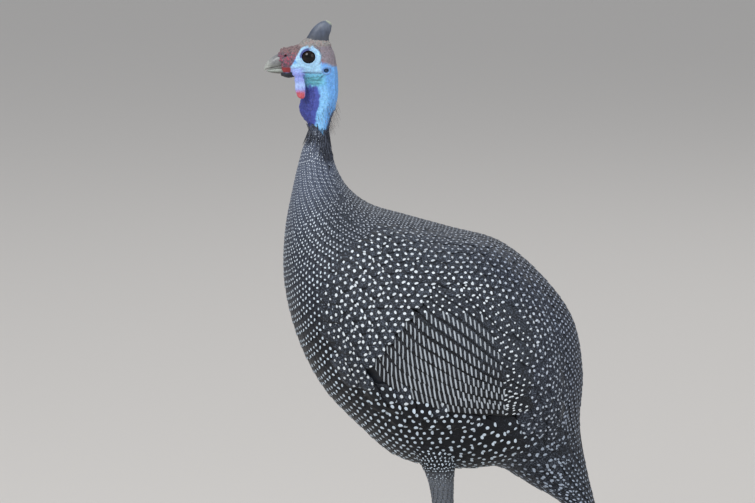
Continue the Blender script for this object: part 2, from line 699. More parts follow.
# The body's coat in six stretches: from which station to which, the middle line and the reach to each side
# of it in degrees. Their reaches lap over each other by a feather.
regions = {
    "neck": {"first": 15.35, "last": 12.25, "midline": math.pi, "reach": 151},
    "nape": {"first": 15.3, "last": 12.15, "midline": 0.0, "reach": 43},
    "underside": {"first": 12.25, "last": 4.4, "midline": math.pi, "reach": 135},
    "back": {"first": 12.15, "last": 4.3, "midline": 0.0, "reach": 55},
    "tailTop": {"first": 4.3, "last": 1.2, "midline": 0.0, "reach": 90},
    "tailUnder": {"first": 4.35, "last": 1.5, "midline": math.pi, "reach": 90},
}


def makeBodyCoat():
    vanes, spots = {}, {}
    for name, region in regions.items():
        roots = lattice(onBody, bodySpacing, region["first"], region["last"], math.radians(region["reach"]),
                        midline=region["midline"])
        # Turns run from -pi to pi, and a feather's tip stays next to its root
        roots[:, [1, 3]] = (roots[:, [1, 3]] + math.pi) % (2 * math.pi) - math.pi
        crossed = np.abs(roots[:, 1] - roots[:, 3]) > math.pi
        roots[crossed, 3] += np.sign(roots[crossed, 1]) * 2 * math.pi
        if name in ("underside", "back"):
            shown = roots[:, :2] + 0.65 * (roots[:, 2:] - roots[:, :2])
            roots = roots[~inWing(shown[:, 0], shown[:, 1], 3)]
        weights = bodyTone(roots[:, 2], roots[:, 3])
        lay = makeLay(onBody, roots, bodySpacing, blendTone(weights, "ground"),
                      0.6 - 0.55 * weights["belly"], -1, unwrapBody(roots[:, 0], roots[:, 1]))
        if name.startswith("tail"):
            # Its first rows lie under the body's last ones
            lay["tip"] = lay["tip"] - 0.9 * smoothStep(3.6, 4.1, roots[:, 0])
        vanes[name] = [vaneParts(lay)]
        share = frontToBack(spotShare, roots[:, 2], roots[:, 3])
        narrow = smoothStep(13.4, 12.0, roots[:, 0])
        spots[name] = quincunx(lay, share, blendTone(weights, "spot"), aspect=0.62 + 0.38 * narrow,
                               sides=6 if name in ("neck", "nape") else 8)
    return vanes, spots


# The tail's long feathers: how many above and below and their spread there in degrees, their root and end as
# stations, then mm: half width, rows of spots across, and the spots' step, first and last place and half size
tail = {
    "count": 8, "above": 78, "below": 62, "root": 3.4, "end": 0.12, "rounded": 0.42, "half": 11.0,
    "spotRows": (-7.0, -2.35, 2.35, 7.0), "spotStep": 4.7, "firstSpot": 2.6, "lastSpot": 52, "spotHalf": 0.95,
}


def makeTailFeathers():
    # The long tail feathers, folded over each other above and below, with four rows of spots on each
    vanes, spots = [], []
    count = tail["count"]
    i = np.arange(count)
    steps = np.linspace(0, 1, 24)
    order = np.abs(np.linspace(-1, 1, count))
    size = np.full(count, tail["spotHalf"])
    weights = {"tail": np.ones(count)}
    for middle, spread in ((0.0, tail["above"]), (math.pi, tail["below"])):
        turns = np.radians(np.linspace(-spread, spread, count)) + middle
        ends = tail["end"] + tail["rounded"] * order ** 2
        u = tail["root"] + (ends[:, None] - tail["root"]) * steps[None, :]
        v = np.repeat(turns[:, None], len(steps), 1)
        length = np.linalg.norm(np.diff(onBody(u, v), axis=1), axis=2).sum(1)
        lay = {
            "place": onBody, "long": True, "flip": -1, "bow": 0.3, "ragged": 0.02, "thick": 0.25,
            "u": u, "v": v, "length": length, "half": np.full(count, tail["half"]),
            "root": np.full(count, -3.0), "tip": -0.9 - 0.7 * order,
            "crown": np.full(count, 0.5), "tilt": np.linspace(-0.5, 0.5, count),
            "tone": blendTone(weights, "ground"), "grain": np.full(count, 0.8),
            "home": unwrapBody(np.full(count, 3.0) - 2 * order, turns),
        }
        vanes.append(vaneParts(lay, 26, 9))
        for row, across in enumerate(tail["spotRows"]):
            first = tail["firstSpot"] + tail["spotStep"] / 2 * (row % 2)
            for back in np.arange(first, tail["lastSpot"], tail["spotStep"]):
                t = 1 - back / length
                x = across / (lay["half"] * vaneOutline(t, True))
                keep = np.abs(x) < 0.9
                spots.append(spotParts(lay, i[keep], t[keep], x[keep], size[keep], size[keep],
                                       blendTone(weights, "spot")[keep]))
    return vanes, spots


def coverSurface(side):
    # place(station, turn) over the flank and the wing folded on it, turned from the spine to this side
    def place(station, turn):
        station, turn = np.broadcast_arrays(station, turn)
        point, normal, _, _ = surfaceFrame(onBody, station, side * turn, -1)
        return point + normal * (np.maximum(wingRise(station, turn), 0) + 0.5)[..., None]

    return place


# Where the wing's long feathers show, in mm as seen from the side. Front and rear are x over z, top and
# bottom z over x, and the bars end at barRear and barTop.
stripZone = {
    "front": ([160, 165, 173, 187, 196, 208, 216, 228, 240, 252, 275],
              [-20, -34, -43, -43, -49, -53, -44, -29, -20, -7, 0]),
    "top": ([-60, -7, 62, 90], [288, 272, 250, 240]),
    "bottom": ([-60, -48, -36, -21, -3, 33, 70, 90], [188, 186, 183, 178, 171, 161, 155, 152]),
    "rear": 60,
    "barRear": ([150, 180, 212, 230, 250], [47, 50, 46, 42, 31]),
    "barTop": ([-60, -16, 30, 60], [258, 252, 247, 244]),
}


def inStripZone(x, z, grow=0.0):
    x = x - originShift
    between = (x > np.interp(z, *stripZone["front"]) - grow) & (x < stripZone["rear"] + grow)
    below = z < np.interp(x, *stripZone["top"]) + grow
    return between & below & (z > np.interp(x, *stripZone["bottom"]) - grow)


def inBars(x, z):
    x = x - originShift
    return (x < np.interp(z, *stripZone["barRear"])) & (z < np.interp(x, *stripZone["barTop"]))


def coverSpacing(station, turn):
    # The spots are closer together towards the mantle and the rump, and wider apart on the flank
    degrees = np.degrees(turn)
    mantle = smoothStep(50, 26, degrees) * smoothStep(8.2, 9.4, station)
    rump = smoothStep(80, 45, degrees) * smoothStep(7.4, 6.2, station)
    flank = smoothStep(104, 118, degrees) * smoothStep(9.6, 8.6, station)
    return 5.9 - 1.8 * mantle - 1.3 * rump + 0.8 * flank


# The wing's long feathers: mm each is tall, their lowest and highest place over the wing's height, how far
# the rows of bars and each bar slant, then mm between bars and dots and their half sizes. Dot rows are over
# the width.
strip = {
    "tall": 8.4, "lowest": 0.865, "highest": 0.3, "slant": 0.33, "lean": 0.84,
    "barStep": 4.45, "barHalf": 0.76, "barReach": 4.3,
    "dotStep": 5.9, "dotHalf": 1.05, "dotRows": (0.24, 0.78),
}


def layStrips(side):
    # The wing's long feathers, side by side from its lower edge up, the upper ones lying higher
    place = wingSurface(side)
    mmPerUnit = float(surfaceFrame(place, np.array([0.5]), np.array([0.6]))[3][0])
    tall = strip["tall"] / mmPerUnit
    lines = np.arange(strip["lowest"], strip["highest"], -tall)
    order = (strip["lowest"] - lines) / (strip["lowest"] - strip["highest"])
    count = len(lines)
    # Each starts 16 mm ahead of where it shows, and ends a little before or behind its neighbours
    fine = np.linspace(0.05, 0.93, 300)
    track = place(np.tile(fine, (count, 1)), np.tile((lines - 0.5 * tall)[:, None], (1, 300)))
    x = track[..., 0] - originShift
    ahead = x - np.interp(track[..., 2], *stripZone["front"]) + 16
    behind = x - stripZone["rear"] - 3 + 8 * np.sin(np.arange(count) * 2.4)[:, None]
    u0 = np.array([fine[np.argmax(row > 0)] for row in ahead])
    u1 = np.array([fine[np.argmax(row > 0)] if (row > 0).any() else fine[-1] for row in behind])
    u = u0[:, None] + (u1 - u0)[:, None] * np.linspace(0, 1, 30)
    v = (lines - tall)[:, None] + 0 * u
    station = np.interp(1 - u0, wingFine, wingLine[:, 0]) / 10
    barred = {"bar": smoothStep(0.62, 0.45, order) + 1e-6, "wing": smoothStep(0.45, 0.62, order)}
    return order, {
        "place": place, "long": True, "flip": side, "bow": 0.3, "ragged": 0.012, "thick": 0.25,
        "u": u, "v": v, "length": np.linalg.norm(np.diff(place(u, v), axis=1), axis=2).sum(1),
        "half": np.full(count, strip["tall"] * 1.12), "root": np.full(count, -1.2), "tip": 0.4 + 0.3 * order,
        "crown": np.full(count, 0.35), "tilt": np.full(count, 0.55),
        "tone": blendTone(barred, "ground"), "grain": 0.1 + 0.6 * order,
        "home": unwrapBody(station, side * np.radians(40 + 80 * v[:, 0])),
    }


def makeWingStrips(side):
    # Long feathers, barred in the middle of the wing and spotted elsewhere
    order, lay = layStrips(side)
    vanes, spots = [vaneParts(lay, 40, 9)], []
    barTone, dotTone = linear(plumage["bar"]["spot"]), linear(plumage["wing"]["spot"])
    t = np.linspace(0.02, 0.985, 500)
    for k, length in enumerate(lay["length"]):
        middle, _ = onVane(lay, np.full(500, k), t, np.full(500, 0.5))
        phase = (middle[:, 0] - strip["slant"] * (middle[:, 2] - 200)) / strip["barStep"]
        at = np.interp(np.arange(math.ceil(phase[0]), phase[-1]), phase, t)
        here, _ = onVane(lay, np.full(len(at), k), at, np.full(len(at), 0.5))
        barred = inBars(here[:, 0], here[:, 2])
        bars, count = at[barred], barred.sum()
        bars = bars + rng.normal(0, 0.0012, count)
        # Bars grow shorter up the wing and towards its rear
        fade = 1 - 0.45 * smoothStep(0.5, 1, (here[barred, 0] - originShift + 20) / 75)
        reach = (strip["barReach"] - 1.6 * smoothStep(0.2, 0.55, order[k])) * fade
        reach = reach * (1 + rng.normal(0, 0.05, count))
        tone = np.clip(barTone * (1 + rng.normal(0, 0.07, count))[:, None], 0, 1)
        spots.append(spotParts(lay, np.full(count, k), bars, np.full(count, 0.52),
                               np.full(count, strip["barHalf"]), reach, tone, 12, strip["lean"], 0.16, 0.6))
        dots = np.arange(3, length - 2, strip["dotStep"]) / length
        for row, across in enumerate(strip["dotRows"]):
            shown = dots + row * strip["dotStep"] / 2 / length
            here, _ = onVane(lay, np.full(len(shown), k), np.clip(shown, 0, 1), np.full(len(shown), across))
            shown = shown[(shown < 0.985) & ~inBars(here[:, 0], here[:, 2])]
            count = len(shown)
            size = (strip["dotHalf"] - 0.2 * order[k]) * (1 + rng.normal(0, 0.08, count))
            tone = np.clip(dotTone * (1 + rng.normal(0, 0.07, count))[:, None], 0, 1)
            spots.append(spotParts(lay, np.full(count, k), shown, np.full(count, across), size, size, tone))
    return vanes, spots


def makeWingCovers(side):
    # Short feathers over the rest of the wing, and over its edges where the flank and back close in
    cover = coverSurface(side)
    roots = lattice(cover, coverSpacing, 10.75, 4.4, math.radians(122),
                    midline=math.radians(15), mirrored=False)
    shown = roots[:, :2] + 0.65 * (roots[:, 2:] - roots[:, :2])
    nearTip = roots[:, :2] + 0.95 * (roots[:, 2:] - roots[:, :2])
    upper, lower = wingEdges(shown[:, 0])
    degrees = np.degrees(shown[:, 1])
    point = cover(shown[:, 0], shown[:, 1])
    kept = (degrees > upper - 3) & (degrees < lower + 5)
    for p in (point, cover(nearTip[:, 0], nearTip[:, 1])):
        # The ones along the strips' lower edge stay, and cover it
        clear = p[:, 2] > np.interp(p[:, 0] - originShift, *stripZone["bottom"]) + 6
        kept &= ~(inStripZone(p[:, 0], p[:, 2]) & clear)
    roots, point, shown, degrees = roots[kept], point[kept], shown[kept], degrees[kept]
    x, z = point[:, 0] - originShift, point[:, 2]
    flank = smoothStep(6, -2, z - np.interp(x, *stripZone["bottom"])) * smoothStep(10.2, 9.2, shown[:, 0])
    high = smoothStep(58, 32, degrees)
    rear = smoothStep(6.9, 6.0, shown[:, 0])
    weights = {
        "belly": flank * (1 - rear) + 1e-6,
        "wing": (1 - flank) * (1 - high) * (1 - 0.7 * rear),
        "mantle": (1 - flank) * high * smoothStep(7.8, 9, shown[:, 0]),
        "rump": (1 - flank) * (high * smoothStep(9, 7.8, shown[:, 0]) + 0.7 * rear * (1 - high)),
    }
    lay = makeLay(cover, roots, coverSpacing, blendTone(weights, "ground"), 0.75 * (1 - flank), -side,
                  unwrapBody(roots[:, 0], side * roots[:, 1]), jitter=0.06)
    lay["root"] = lay["root"] - 0.2
    lay["tip"] = lay["tip"] + 0.75 + 0.5 * flank - 0.5 * rear
    lay["tilt"] = lay["tilt"] * 0.5
    vanes = [vaneParts(lay)]
    # Feathers at the wing's edges and round the strips show further towards their roots
    upper, lower = wingEdges(roots[:, 0])
    degrees = np.degrees(roots[:, 1])
    foot = cover(roots[:, 0], roots[:, 1])
    bare = (roots[:, 0] > 9.3) | (degrees < upper + 14) | (degrees > lower - 12)
    below = (foot[:, 2] < 185) | (foot[:, 0] > 20 + originShift)
    bare |= inStripZone(foot[:, 0], foot[:, 2], 6) & below
    share = 0.4 + 0.06 * flank - 0.03 * high + 0.02 * rear
    return vanes, quincunx(lay, share, blendTone(weights, "spot"), bare=bare)


def makeWingCoat(side):
    stripVanes, stripSpots = makeWingStrips(side)
    coverVanes, coverSpots = makeWingCovers(side)
    return stripVanes + coverVanes, stripSpots + coverSpots


# The thigh's feathers: first and last ring, then the rings where the spacing changes, in mm, and the colours
thigh = {
    "first": 1.15, "last": 4.75, "rings": (1.1, 3.1), "spacings": (4.4, 2.0),
    "top": "#14171c", "down": "#5a5e64",
}


def makeThighCoat(side):
    # Short feathers that grow smaller, paler and less spotted down the leg
    place = ringedSurface(thighRings, side)

    def spacing(ring, turn):
        return np.interp(ring, thigh["rings"], thigh["spacings"]) + 0 * turn

    roots = lattice(place, spacing, thigh["first"], thigh["last"], 2 * math.pi, mirrored=False)
    down = smoothStep(1.7, 2.8, roots[:, 0])
    tones = linear(thigh["top"]) * (1 - down)[:, None] + linear(thigh["down"]) * down[:, None]
    around = roots[:, 1] / (2 * math.pi) % 1
    home = np.stack([0.05 + 0.4 * (side > 0) + 0.4 * around, 0.77 + 0.03 * roots[:, 0]], 1)
    lay = makeLay(place, roots, spacing, tones, 0.1 + 0.7 * down, 1, home, depth=0.9)
    lay["tip"] = lay["tip"] + 0.25
    tone = blendTone({"belly": 1 - down, "neck": down}, "spot") * (1 - 0.6 * down)[:, None]
    vanes = [vaneParts(lay, 8, 5)]
    return vanes, quincunx(lay, 0.42 - 0.12 * down, tone, sides=6, bare=roots[:, 0] < 1.5)


def featherMaterial():
    # Keratin vanes: matt with a soft sheen across the barbs, peppered with fine pale freckles
    material, tree, shader, place = newMaterial("featherVane", Roughness=0.58, Specular_IOR_Level=0.28,
                                                Sheen_Weight=0.05, Sheen_Roughness=0.4)
    tone = addNode(tree, "ShaderNodeAttribute", attribute_name="tone")
    grain = addNode(tree, "ShaderNodeAttribute", attribute_name="grain")
    vane = addNode(tree, "ShaderNodeUVMap", uv_map="vane")
    # Freckles about 1.1 mm apart
    freckle = addNode(tree, "ShaderNodeTexNoise", {"Vector": place, "Scale": 900.0, "Detail": 2.0})
    lit = addNode(tree, "ShaderNodeMapRange",
                  {"Value": freckle.outputs["Fac"], "From Min": 0.5, "From Max": 0.68})
    amount = addNode(tree, "ShaderNodeMath", {0: lit.outputs["Result"], 1: grain.outputs["Fac"]},
                     operation="MULTIPLY")
    pale = addNode(tree, "ShaderNodeMix",
                   {"Factor": amount.outputs[0], 6: tone.outputs["Color"], 7: (*linear("#667080"), 1)},
                   data_type="RGBA")
    # Barbs 0.7 mm apart, slanting away from the shaft
    perUnit = vaneMapSize / 0.7 * 2 * math.pi
    split = addNode(tree, "ShaderNodeSeparateXYZ", {0: vane.outputs["UV"]})
    aside = addNode(tree, "ShaderNodeMath", {0: split.outputs[0]}, operation="ABSOLUTE")
    slant = addNode(tree, "ShaderNodeMath", {0: aside.outputs[0], 1: -0.9, 2: split.outputs[1]},
                    operation="MULTIPLY_ADD")
    ridges = addNode(tree, "ShaderNodeMath", {0: slant.outputs[0], 1: perUnit}, operation="MULTIPLY")
    wave = addNode(tree, "ShaderNodeMath", {0: ridges.outputs[0]}, operation="SINE")
    bump = addNode(tree, "ShaderNodeBump", {"Height": wave.outputs[0], "Strength": 0.35, "Distance": 0.00008})
    tree.links.new(pale.outputs[2], shader.inputs["Base Color"])
    tree.links.new(bump.outputs["Normal"], shader.inputs["Normal"])
    return material


def spotMaterial():
    # Unpigmented keratin: the same barbs without their dark colour, off-white and matt
    material, tree, shader, place = newMaterial("whiteBarbs", Roughness=0.62, Specular_IOR_Level=0.3)
    wear = addNode(tree, "ShaderNodeTexNoise", {"Vector": place, "Scale": 1400.0})
    mottle(tree, shader, "tone", wear.outputs["Fac"], (0, 1), (0.82, 1.08))
    return material


def buildCoat():
    # The coat's feathers and, as pieces of their own, the white spots on them
    body, bodySpots = makeBodyCoat()
    body["tail"], bodySpots["tail"] = makeTailFeathers()
    vanes, spots = [{
        "neck": made["neck"] + made["nape"],
        "underside": made["underside"],
        "back": made["back"],
        "tail": made["tailTop"] + made["tailUnder"] + made["tail"],
    } for made in (body, bodySpots)]
    thighs = []
    for name, side in sides.items():
        vanes[f"wing_{name}"], spots[f"wing_{name}"] = makeWingCoat(side)
        thighs.append(makeThighCoat(side))
    vanes["thighs"], spots["thighs"] = [left + right for left, right in zip(*thighs)]
    for kind, made, finish in (("coat", vanes, featherMaterial()), ("spots", spots, spotMaterial())):
        for name, parts in made.items():
            piece = gatherPiece(f"{kind}_{name}", parts, finish, smooth=kind == "coat")
            settle(piece, "leg_down" if name == "thighs" else "plumage")


# The head in mm: slices from the nape to the bill as top point x and z, bottom point x and z, and half width
headSlices = [
    (-81.8, 437.5, -81.8, 437.5, 0), (-85, 446.5, -84.6, 429, 7.6), (-90.5, 451.5, -90.5, 425, 11),
    (-98.5, 454.2, -98.5, 425, 12), (-106, 454.5, -106, 426.5, 11.2), (-112.5, 453.3, -112.5, 428.3, 9.8),
    (-119, 451.4, -119, 430, 7.4), (-124.4, 449.3, -124.2, 430.9, 5.4), (-126.4, 440.5, -126.4, 440.5, 0),
]
# The bare neck upwards from inside the feathers: height, nape, throat and half width
neckRows = [
    (362, -87.5, -107.5, 8.6), (368, -88.6, -106.2, 8.2), (374, -89.4, -105, 7.8), (380, -89.6, -103.9, 7.5),
    (386, -88.6, -103.4, 7.9), (390.5, -87.3, -104.4, 8.3), (394.5, -86.2, -107.4, 8.4),
    (399, -84.8, -110.6, 8.8), (405, -82.8, -111.4, 9.3), (411.5, -81.3, -109.9, 9.7),
    (417, -80.8, -108.5, 10), (425, -80.9, -107, 10.6), (431.5, -81.2, -106, 10.8),
    (438, -82.3, -104.5, 10.2), (444, -84.2, -103.5, 9), (449, -86.2, -103, 7.2),
]
eye = {"radius": 6.3, "x": -103.9, "y": 7.4, "z": 444.8, "opening": 5.25, "lid": 7.35}
wattle = {
    "x": -110.6, "y": 9.4, "z": 422.6, "halfLong": 4.1, "halfThick": 1.35, "halfTall": 11.2,
    "splay": 14, "rake": 8,
}
nostril = {"x": -122.0, "y": 5.6, "z": 445.2, "half": (1.7, 1.6, 0.95)}
ear = {"x": -90.0, "y": 11.2, "z": 434.0, "half": (2.2, 2.2, 1.6)}
# Rounded lumps that swell out of head and neck: middle, half sizes and how softly each joins
fleshLumps = {
    "helmetFoot": {"middle": (-98.5, 0, 452), "half": (12.2, 6.6, 8.6), "soft": 3.5},
    "cere": {"middle": (-120.8, 0, 443.6), "half": (7.6, 6.0, 6.8), "soft": 2.2},
    "chin": {"middle": (-119.4, 0, 430.6), "half": (6.4, 4.4, 3.2), "soft": 2.0},
    "gape": {"middle": (-120.6, 3.9, 433.9), "half": (3.6, 1.5, 2.3), "soft": 0.9},
    "wattleRoot": {"middle": (-112.2, 7.6, 431.4), "half": (4.6, 2.6, 3.0), "soft": 2.4},
}
# Furrows in the face: start and end as x and z, depth and width
furrows = [
    ((-109.5, 431.8), (-93.5, 432.4), 0.75, 0.65), ((-107, 427.2), (-94, 425.2), 0.42, 0.8),
    ((-105, 423.5), (-96, 421), 0.3, 0.9), ((-95.6, 430.6), (-91.6, 427.4), 0.5, 0.5),
    ((-88.5, 430), (-86.4, 436), 0.35, 0.6), ((-108.2, 431), (-107.2, 414), 0.45, 0.9),
    ((-116.8, 434.2), (-109.5, 436.2), 0.35, 0.6), ((-114.6, 437.5), (-113.2, 446.5), 0.3, 0.6),
]
warts = {"count": 300, "half": (0.55, 1.0), "tall": (0.22, 0.5)}


def blendIn(a, b, soft):
    # The union of two distance fields with a soft fillet between them
    h = np.clip(0.5 + 0.5 * (b - a) / soft, 0, 1)
    return b * (1 - h) + a * h - soft * h * (1 - h)


def carve(a, b, soft):
    # Field a without field b, with a softened edge
    return -blendIn(-a, b, soft)


def toDistance(field, voxel):
    # Any smooth field that is negative inside, scaled to read in mm near its surface
    gx, gy, gz = np.gradient(field, voxel)
    return field / np.maximum(np.sqrt(gx ** 2 + gy ** 2 + gz ** 2), 1e-3)


def ovalField(middleA, halfA, a, halfB, b, voxel):
    # A tube whose oval section has its middle and half sizes at each place of the grid
    field = np.sqrt(((a - middleA) / np.maximum(halfA, 0.05)) ** 2 + (b / np.maximum(halfB, 0.05)) ** 2) - 1
    return toDistance(field, voxel)


def ball(grid, centre, half, voxel):
    terms = [((g - c) / h) ** 2 for g, c, h in zip(grid, centre, half)]
    return toDistance(np.sqrt(sum(terms)) - 1, voxel)


def fieldMesh(field, low, voxel):
    # The zero surface of a distance field as points in mm and quads that face outwards
    volume = openvdb.FloatGrid(background=3.0)
    volume.copyFromArray(field.astype(np.float32))
    points, quads = volume.convertToQuads(isovalue=0.0)
    points = points * voxel + np.array(low)
    quads = quads.astype(int)
    a, b, c = points[quads[:, 0]], points[quads[:, 1]], points[quads[:, 2]]
    if (np.cross(b - a, c - a) * a).sum() < 0:
        quads = quads[:, ::-1]
    return points, quads


def pointNormals(points, quads):
    a, b, c, d = [points[quads[:, k]] for k in range(4)]
    face = np.cross(c - a, d - b)
    normals = np.zeros_like(points)
    for k in range(4):
        np.add.at(normals, quads[:, k], face)
    return normals / np.maximum(np.linalg.norm(normals, axis=1, keepdims=True), 1e-9)


def ripple(points, size, seed, stretch=(1, 1, 1)):
    # Smooth noise between about -1 and 1, with lumps of the given size in mm
    scaled = points / (size * np.array(stretch)) + seed * 17.3
    return np.array([noise.noise(p) for p in scaled])


def axes(low, high, voxel):
    spans = [np.arange(a, b, voxel) for a, b in zip(low, high)]
    return np.meshgrid(*spans, indexing="ij")


def makeHeadSkin():
    # Both sides are alike, so one field of |y| makes the whole head
    voxel = 0.42
    low, high = (-131, -17.2, 362), (-76, 17.2, 462)
    x, y, z = axes(low, high, voxel)
    aside = np.abs(y)
    stations = np.linspace(0, len(headSlices) - 1, 400)
    top = catmullRom([(s[0], s[1], s[4]) for s in headSlices], stations)
    bottom = catmullRom([(s[2], s[3], s[4]) for s in headSlices], stations)
    topZ, bottomZ, halfY = [
        np.interp(x, line[::-1, 0], line[::-1, k]) for line, k in ((top, 1), (bottom, 1), (top, 2))
    ]
    halfZ = np.maximum((topZ - bottomZ) / 2, 4)
    head = ovalField((topZ + bottomZ) / 2, halfZ, z, np.maximum(halfY, 4), y, voxel)
    head = np.maximum(head, np.maximum(x + 84.5, -125.0 - x))
    rows = catmullRom(neckRows, np.linspace(0, len(neckRows) - 1, 300))
    back, front, half = [np.interp(z, rows[:, 0], rows[:, k]) for k in (1, 2, 3)]
    wide = half * (1 + 0.2 * np.clip((x - (back + front) / 2) / ((back - front) / 2), -1, 1))
    neck = ovalField((back + front) / 2, (back - front) / 2, x, wide, y, voxel)
    neck = np.maximum(neck, np.maximum(z - 448, 363.5 - z))
    skin = blendIn(head, neck, 4.0)
    for lump in fleshLumps.values():
        skin = blendIn(skin, ball((x, aside, z), lump["middle"], lump["half"], voxel), lump["soft"])
    # The wattle is a thin, slightly waved blade that hangs
    splay, rake = math.radians(wattle["splay"]), math.radians(wattle["rake"])
    dx, dy, dz = x - wattle["x"], aside - wattle["y"], z - wattle["z"]
    along = dx * math.cos(rake) + dz * math.sin(rake)
    tall = -dx * math.sin(rake) + dz * math.cos(rake)
    thick = dy * math.cos(splay) + tall * math.sin(splay) - 0.03 * along ** 2
    thick = thick + 0.25 * np.sin(along * 0.9 + tall * 0.25)
    tall = tall * math.cos(splay) - dy * math.sin(splay)
    halfLong = wattle["halfLong"] * (1 - 0.12 * tall / wattle["halfTall"])
    shape = np.abs(along / halfLong) ** 2.4 + np.abs(tall / wattle["halfTall"]) ** 2.4
    shape = shape + np.abs(thick / wattle["halfThick"]) ** 2
    skin = blendIn(skin, toDistance(np.sqrt(shape) - 1, voxel), 1.3)
    # The lids: a puffed rim round the eyeball's socket
    fromEye = np.sqrt((x - eye["x"]) ** 2 + (aside - eye["y"]) ** 2 + (z - eye["z"]) ** 2)
    across = np.hypot(x - eye["x"], (z - eye["z"]) * 1.05)
    pad = ball((x, aside, z), (eye["x"] + 0.2, 6.2, eye["z"] - 2.2), (10.6, 6.3, 9.2), voxel)
    skin = blendIn(blendIn(skin, pad, 2.6), fromEye - eye["lid"], 1.0)
    skin = carve(skin, fromEye - eye["radius"] - 0.1, 0.25)
    skin = np.where(aside > eye["y"], carve(skin, across - eye["opening"], 0.7), skin)
    for hole, soft in ((nostril, 0.5), (ear, 0.6)):
        skin = carve(skin, ball((x, aside, z), (hole["x"], hole["y"], hole["z"]), hole["half"], voxel), soft)
    return wrinkleHead(*fieldMesh(skin, low, voxel))


def crease(points, start, end, depth, wide):
    # A furrow along a line, fading at both ends
    x, z = points[:, 0], points[:, 2]
    start, end = np.array(start), np.array(end)
    line = end - start
    t = ((x - start[0]) * line[0] + (z - start[1]) * line[1]) / (line ** 2).sum()
    across = ((x - start[0]) * line[1] - (z - start[1]) * line[0]) / np.linalg.norm(line)
    fade = smoothStep(-0.12, 0.15, t) * smoothStep(1.12, 0.85, t)
    return -depth * np.exp(-(across / wide) ** 2) * fade * smoothStep(3, 6, np.abs(points[:, 1]))


def wrinkleHead(points, quads):
    # Warts, furrows and folds, as moves along the normals
    normals = pointNormals(points, quads)
    x, y, z = points.T
    aside = np.abs(y)
    mirrored = np.stack([x, aside, z], 1)
    fromEye = np.hypot(x - eye["x"], z - eye["z"])
    bearing = np.degrees(np.arctan2(z - eye["z"], x - eye["x"]))
    atSide = smoothStep(4.5, 7.5, aside)
    move = np.zeros(len(points))
    # Warts crowd over the cere and thin out over the forehead
    local = np.random.default_rng(11)
    onCere = np.where((x < -112) & (z > 435.5) & (normals[:, 0] > -0.93))[0]
    centres = points[local.choice(onCere, warts["count"], replace=False)]
    centres = centres[(centres[:, 0] < -115.5) | (centres[:, 2] > 447)]
    for centre in centres:
        size = local.uniform(*warts["half"])
        near = ((points - centre) ** 2).sum(1)
        move += local.uniform(*warts["tall"]) * np.exp(-near / (2 * (size * 0.62) ** 2))
    # The helmet's knobbly foot and the crown's scurfy skin
    foot = smoothStep(450, 453.5, z) * smoothStep(-112, -108, x)
    move += foot * 0.42 * ripple(points, 1.9, 2)
    crown = smoothStep(-97, -94, x) * smoothStep(436, 440, z)
    move += crown * 0.22 * ripple(points, 1.3, 3)
    # Furrows under the eye, round the ear and behind the wattle
    for furrow in furrows:
        move += crease(points, *furrow)
    ring = np.exp(-((fromEye - 9.9) / 0.6) ** 2) * between(bearing, -40, -15, 110, 150)
    move -= 0.5 * ring * atSide
    folds = np.cos((fromEye - 7.2) * 2 * math.pi / 1.35 + 0.8 * ripple(mirrored, 3.0, 4))
    move += 0.1 * folds * np.exp(-((fromEye - 8.3) / 1.3) ** 2) * atSide
    # Loose skin: fine folds that run down the neck and slack rolls across the throat
    onNeck = smoothStep(431, 425, z)
    move += onNeck * 0.24 * ripple(mirrored, 1.3, 5, (1, 1, 4.5))
    throat = onNeck * smoothStep(-98, -103, x)
    move += throat * 0.34 * ripple(mirrored, 1.9, 6, (3.0, 3.0, 1))
    move += 0.1 * ripple(points, 0.9, 7) * smoothStep(6.2, 7.6, fromEye)
    fromEar = np.hypot(x - ear["x"], z - ear["z"])
    move += 0.4 * np.exp(-((fromEar - 2.9) / 0.6) ** 2) * atSide
    return points + normals * move[:, None], quads


def toeShape(toe, t):
    # The height of a toe's middle and half its thickness at t along it
    return toe["height"] + (toeTipHeight - toe["height"]) * t, toe["half"] * (1 - 0.16 * t)


def toeWay(toe, side):
    heading = math.radians(toe["heading"])
    return np.array([-math.cos(heading), side * math.sin(heading), 0])


def makeLegSkin(side):
    # Thigh, shank and toes as one skin, grown from the solids' own sizes
    voxel = 0.75
    low, high = (-54, 12, -3), (34, 68, 172)
    x, y, z = axes(low, high, voxel)

    def limb(rings, inside, lowest, highest):
        # Its rings' closed ends are left out, and the ends of their neighbours run on instead
        stations = np.linspace(0, len(rings) - 1, 300)
        rows = catmullRom([(r[1], r[0], r[2], r[3], r[4]) for r in rings], stations)[::-1]
        level = np.clip(z, lowest, highest)
        cx, cy, a, b = [np.interp(level, rows[:, 0], rows[:, k]) for k in (1, 2, 3, 4)]
        field = np.sqrt(((x - cx) / (a - inside)) ** 2 + ((y - cy) / (b - inside)) ** 2) - 1
        return np.maximum(toDistance(field, voxel), np.maximum(z - highest - 4, lowest - 5 - z))

    skin = blendIn(limb(thighRings, 1.5, 89.5, 160), limb(shankRings, 0.0, 2.5, 82), 2.5)
    for toe in toes.values():
        way, length = toeWay(toe, 1), toe["length"]
        dx, dy = x - footMiddle[0], y - footMiddle[1]
        t = np.clip((dx * way[0] + dy * way[1]) / length, 0, 1)
        rise, girth = toeShape(toe, t)
        girth = girth + 0.22 * np.cos(t * length / 9.5 * 2 * math.pi)  # pads between its joints
        away = np.sqrt((dx - way[0] * t * length) ** 2 + (dy - way[1] * t * length) ** 2 + (z - rise) ** 2)
        skin = blendIn(skin, away - girth, 1.6)
    skin = np.maximum(skin, -z)
    points, quads = fieldMesh(skin, low, voxel)
    if side < 0:
        points, quads = points * (1, -1, 1), quads[:, ::-1]
    return points, quads


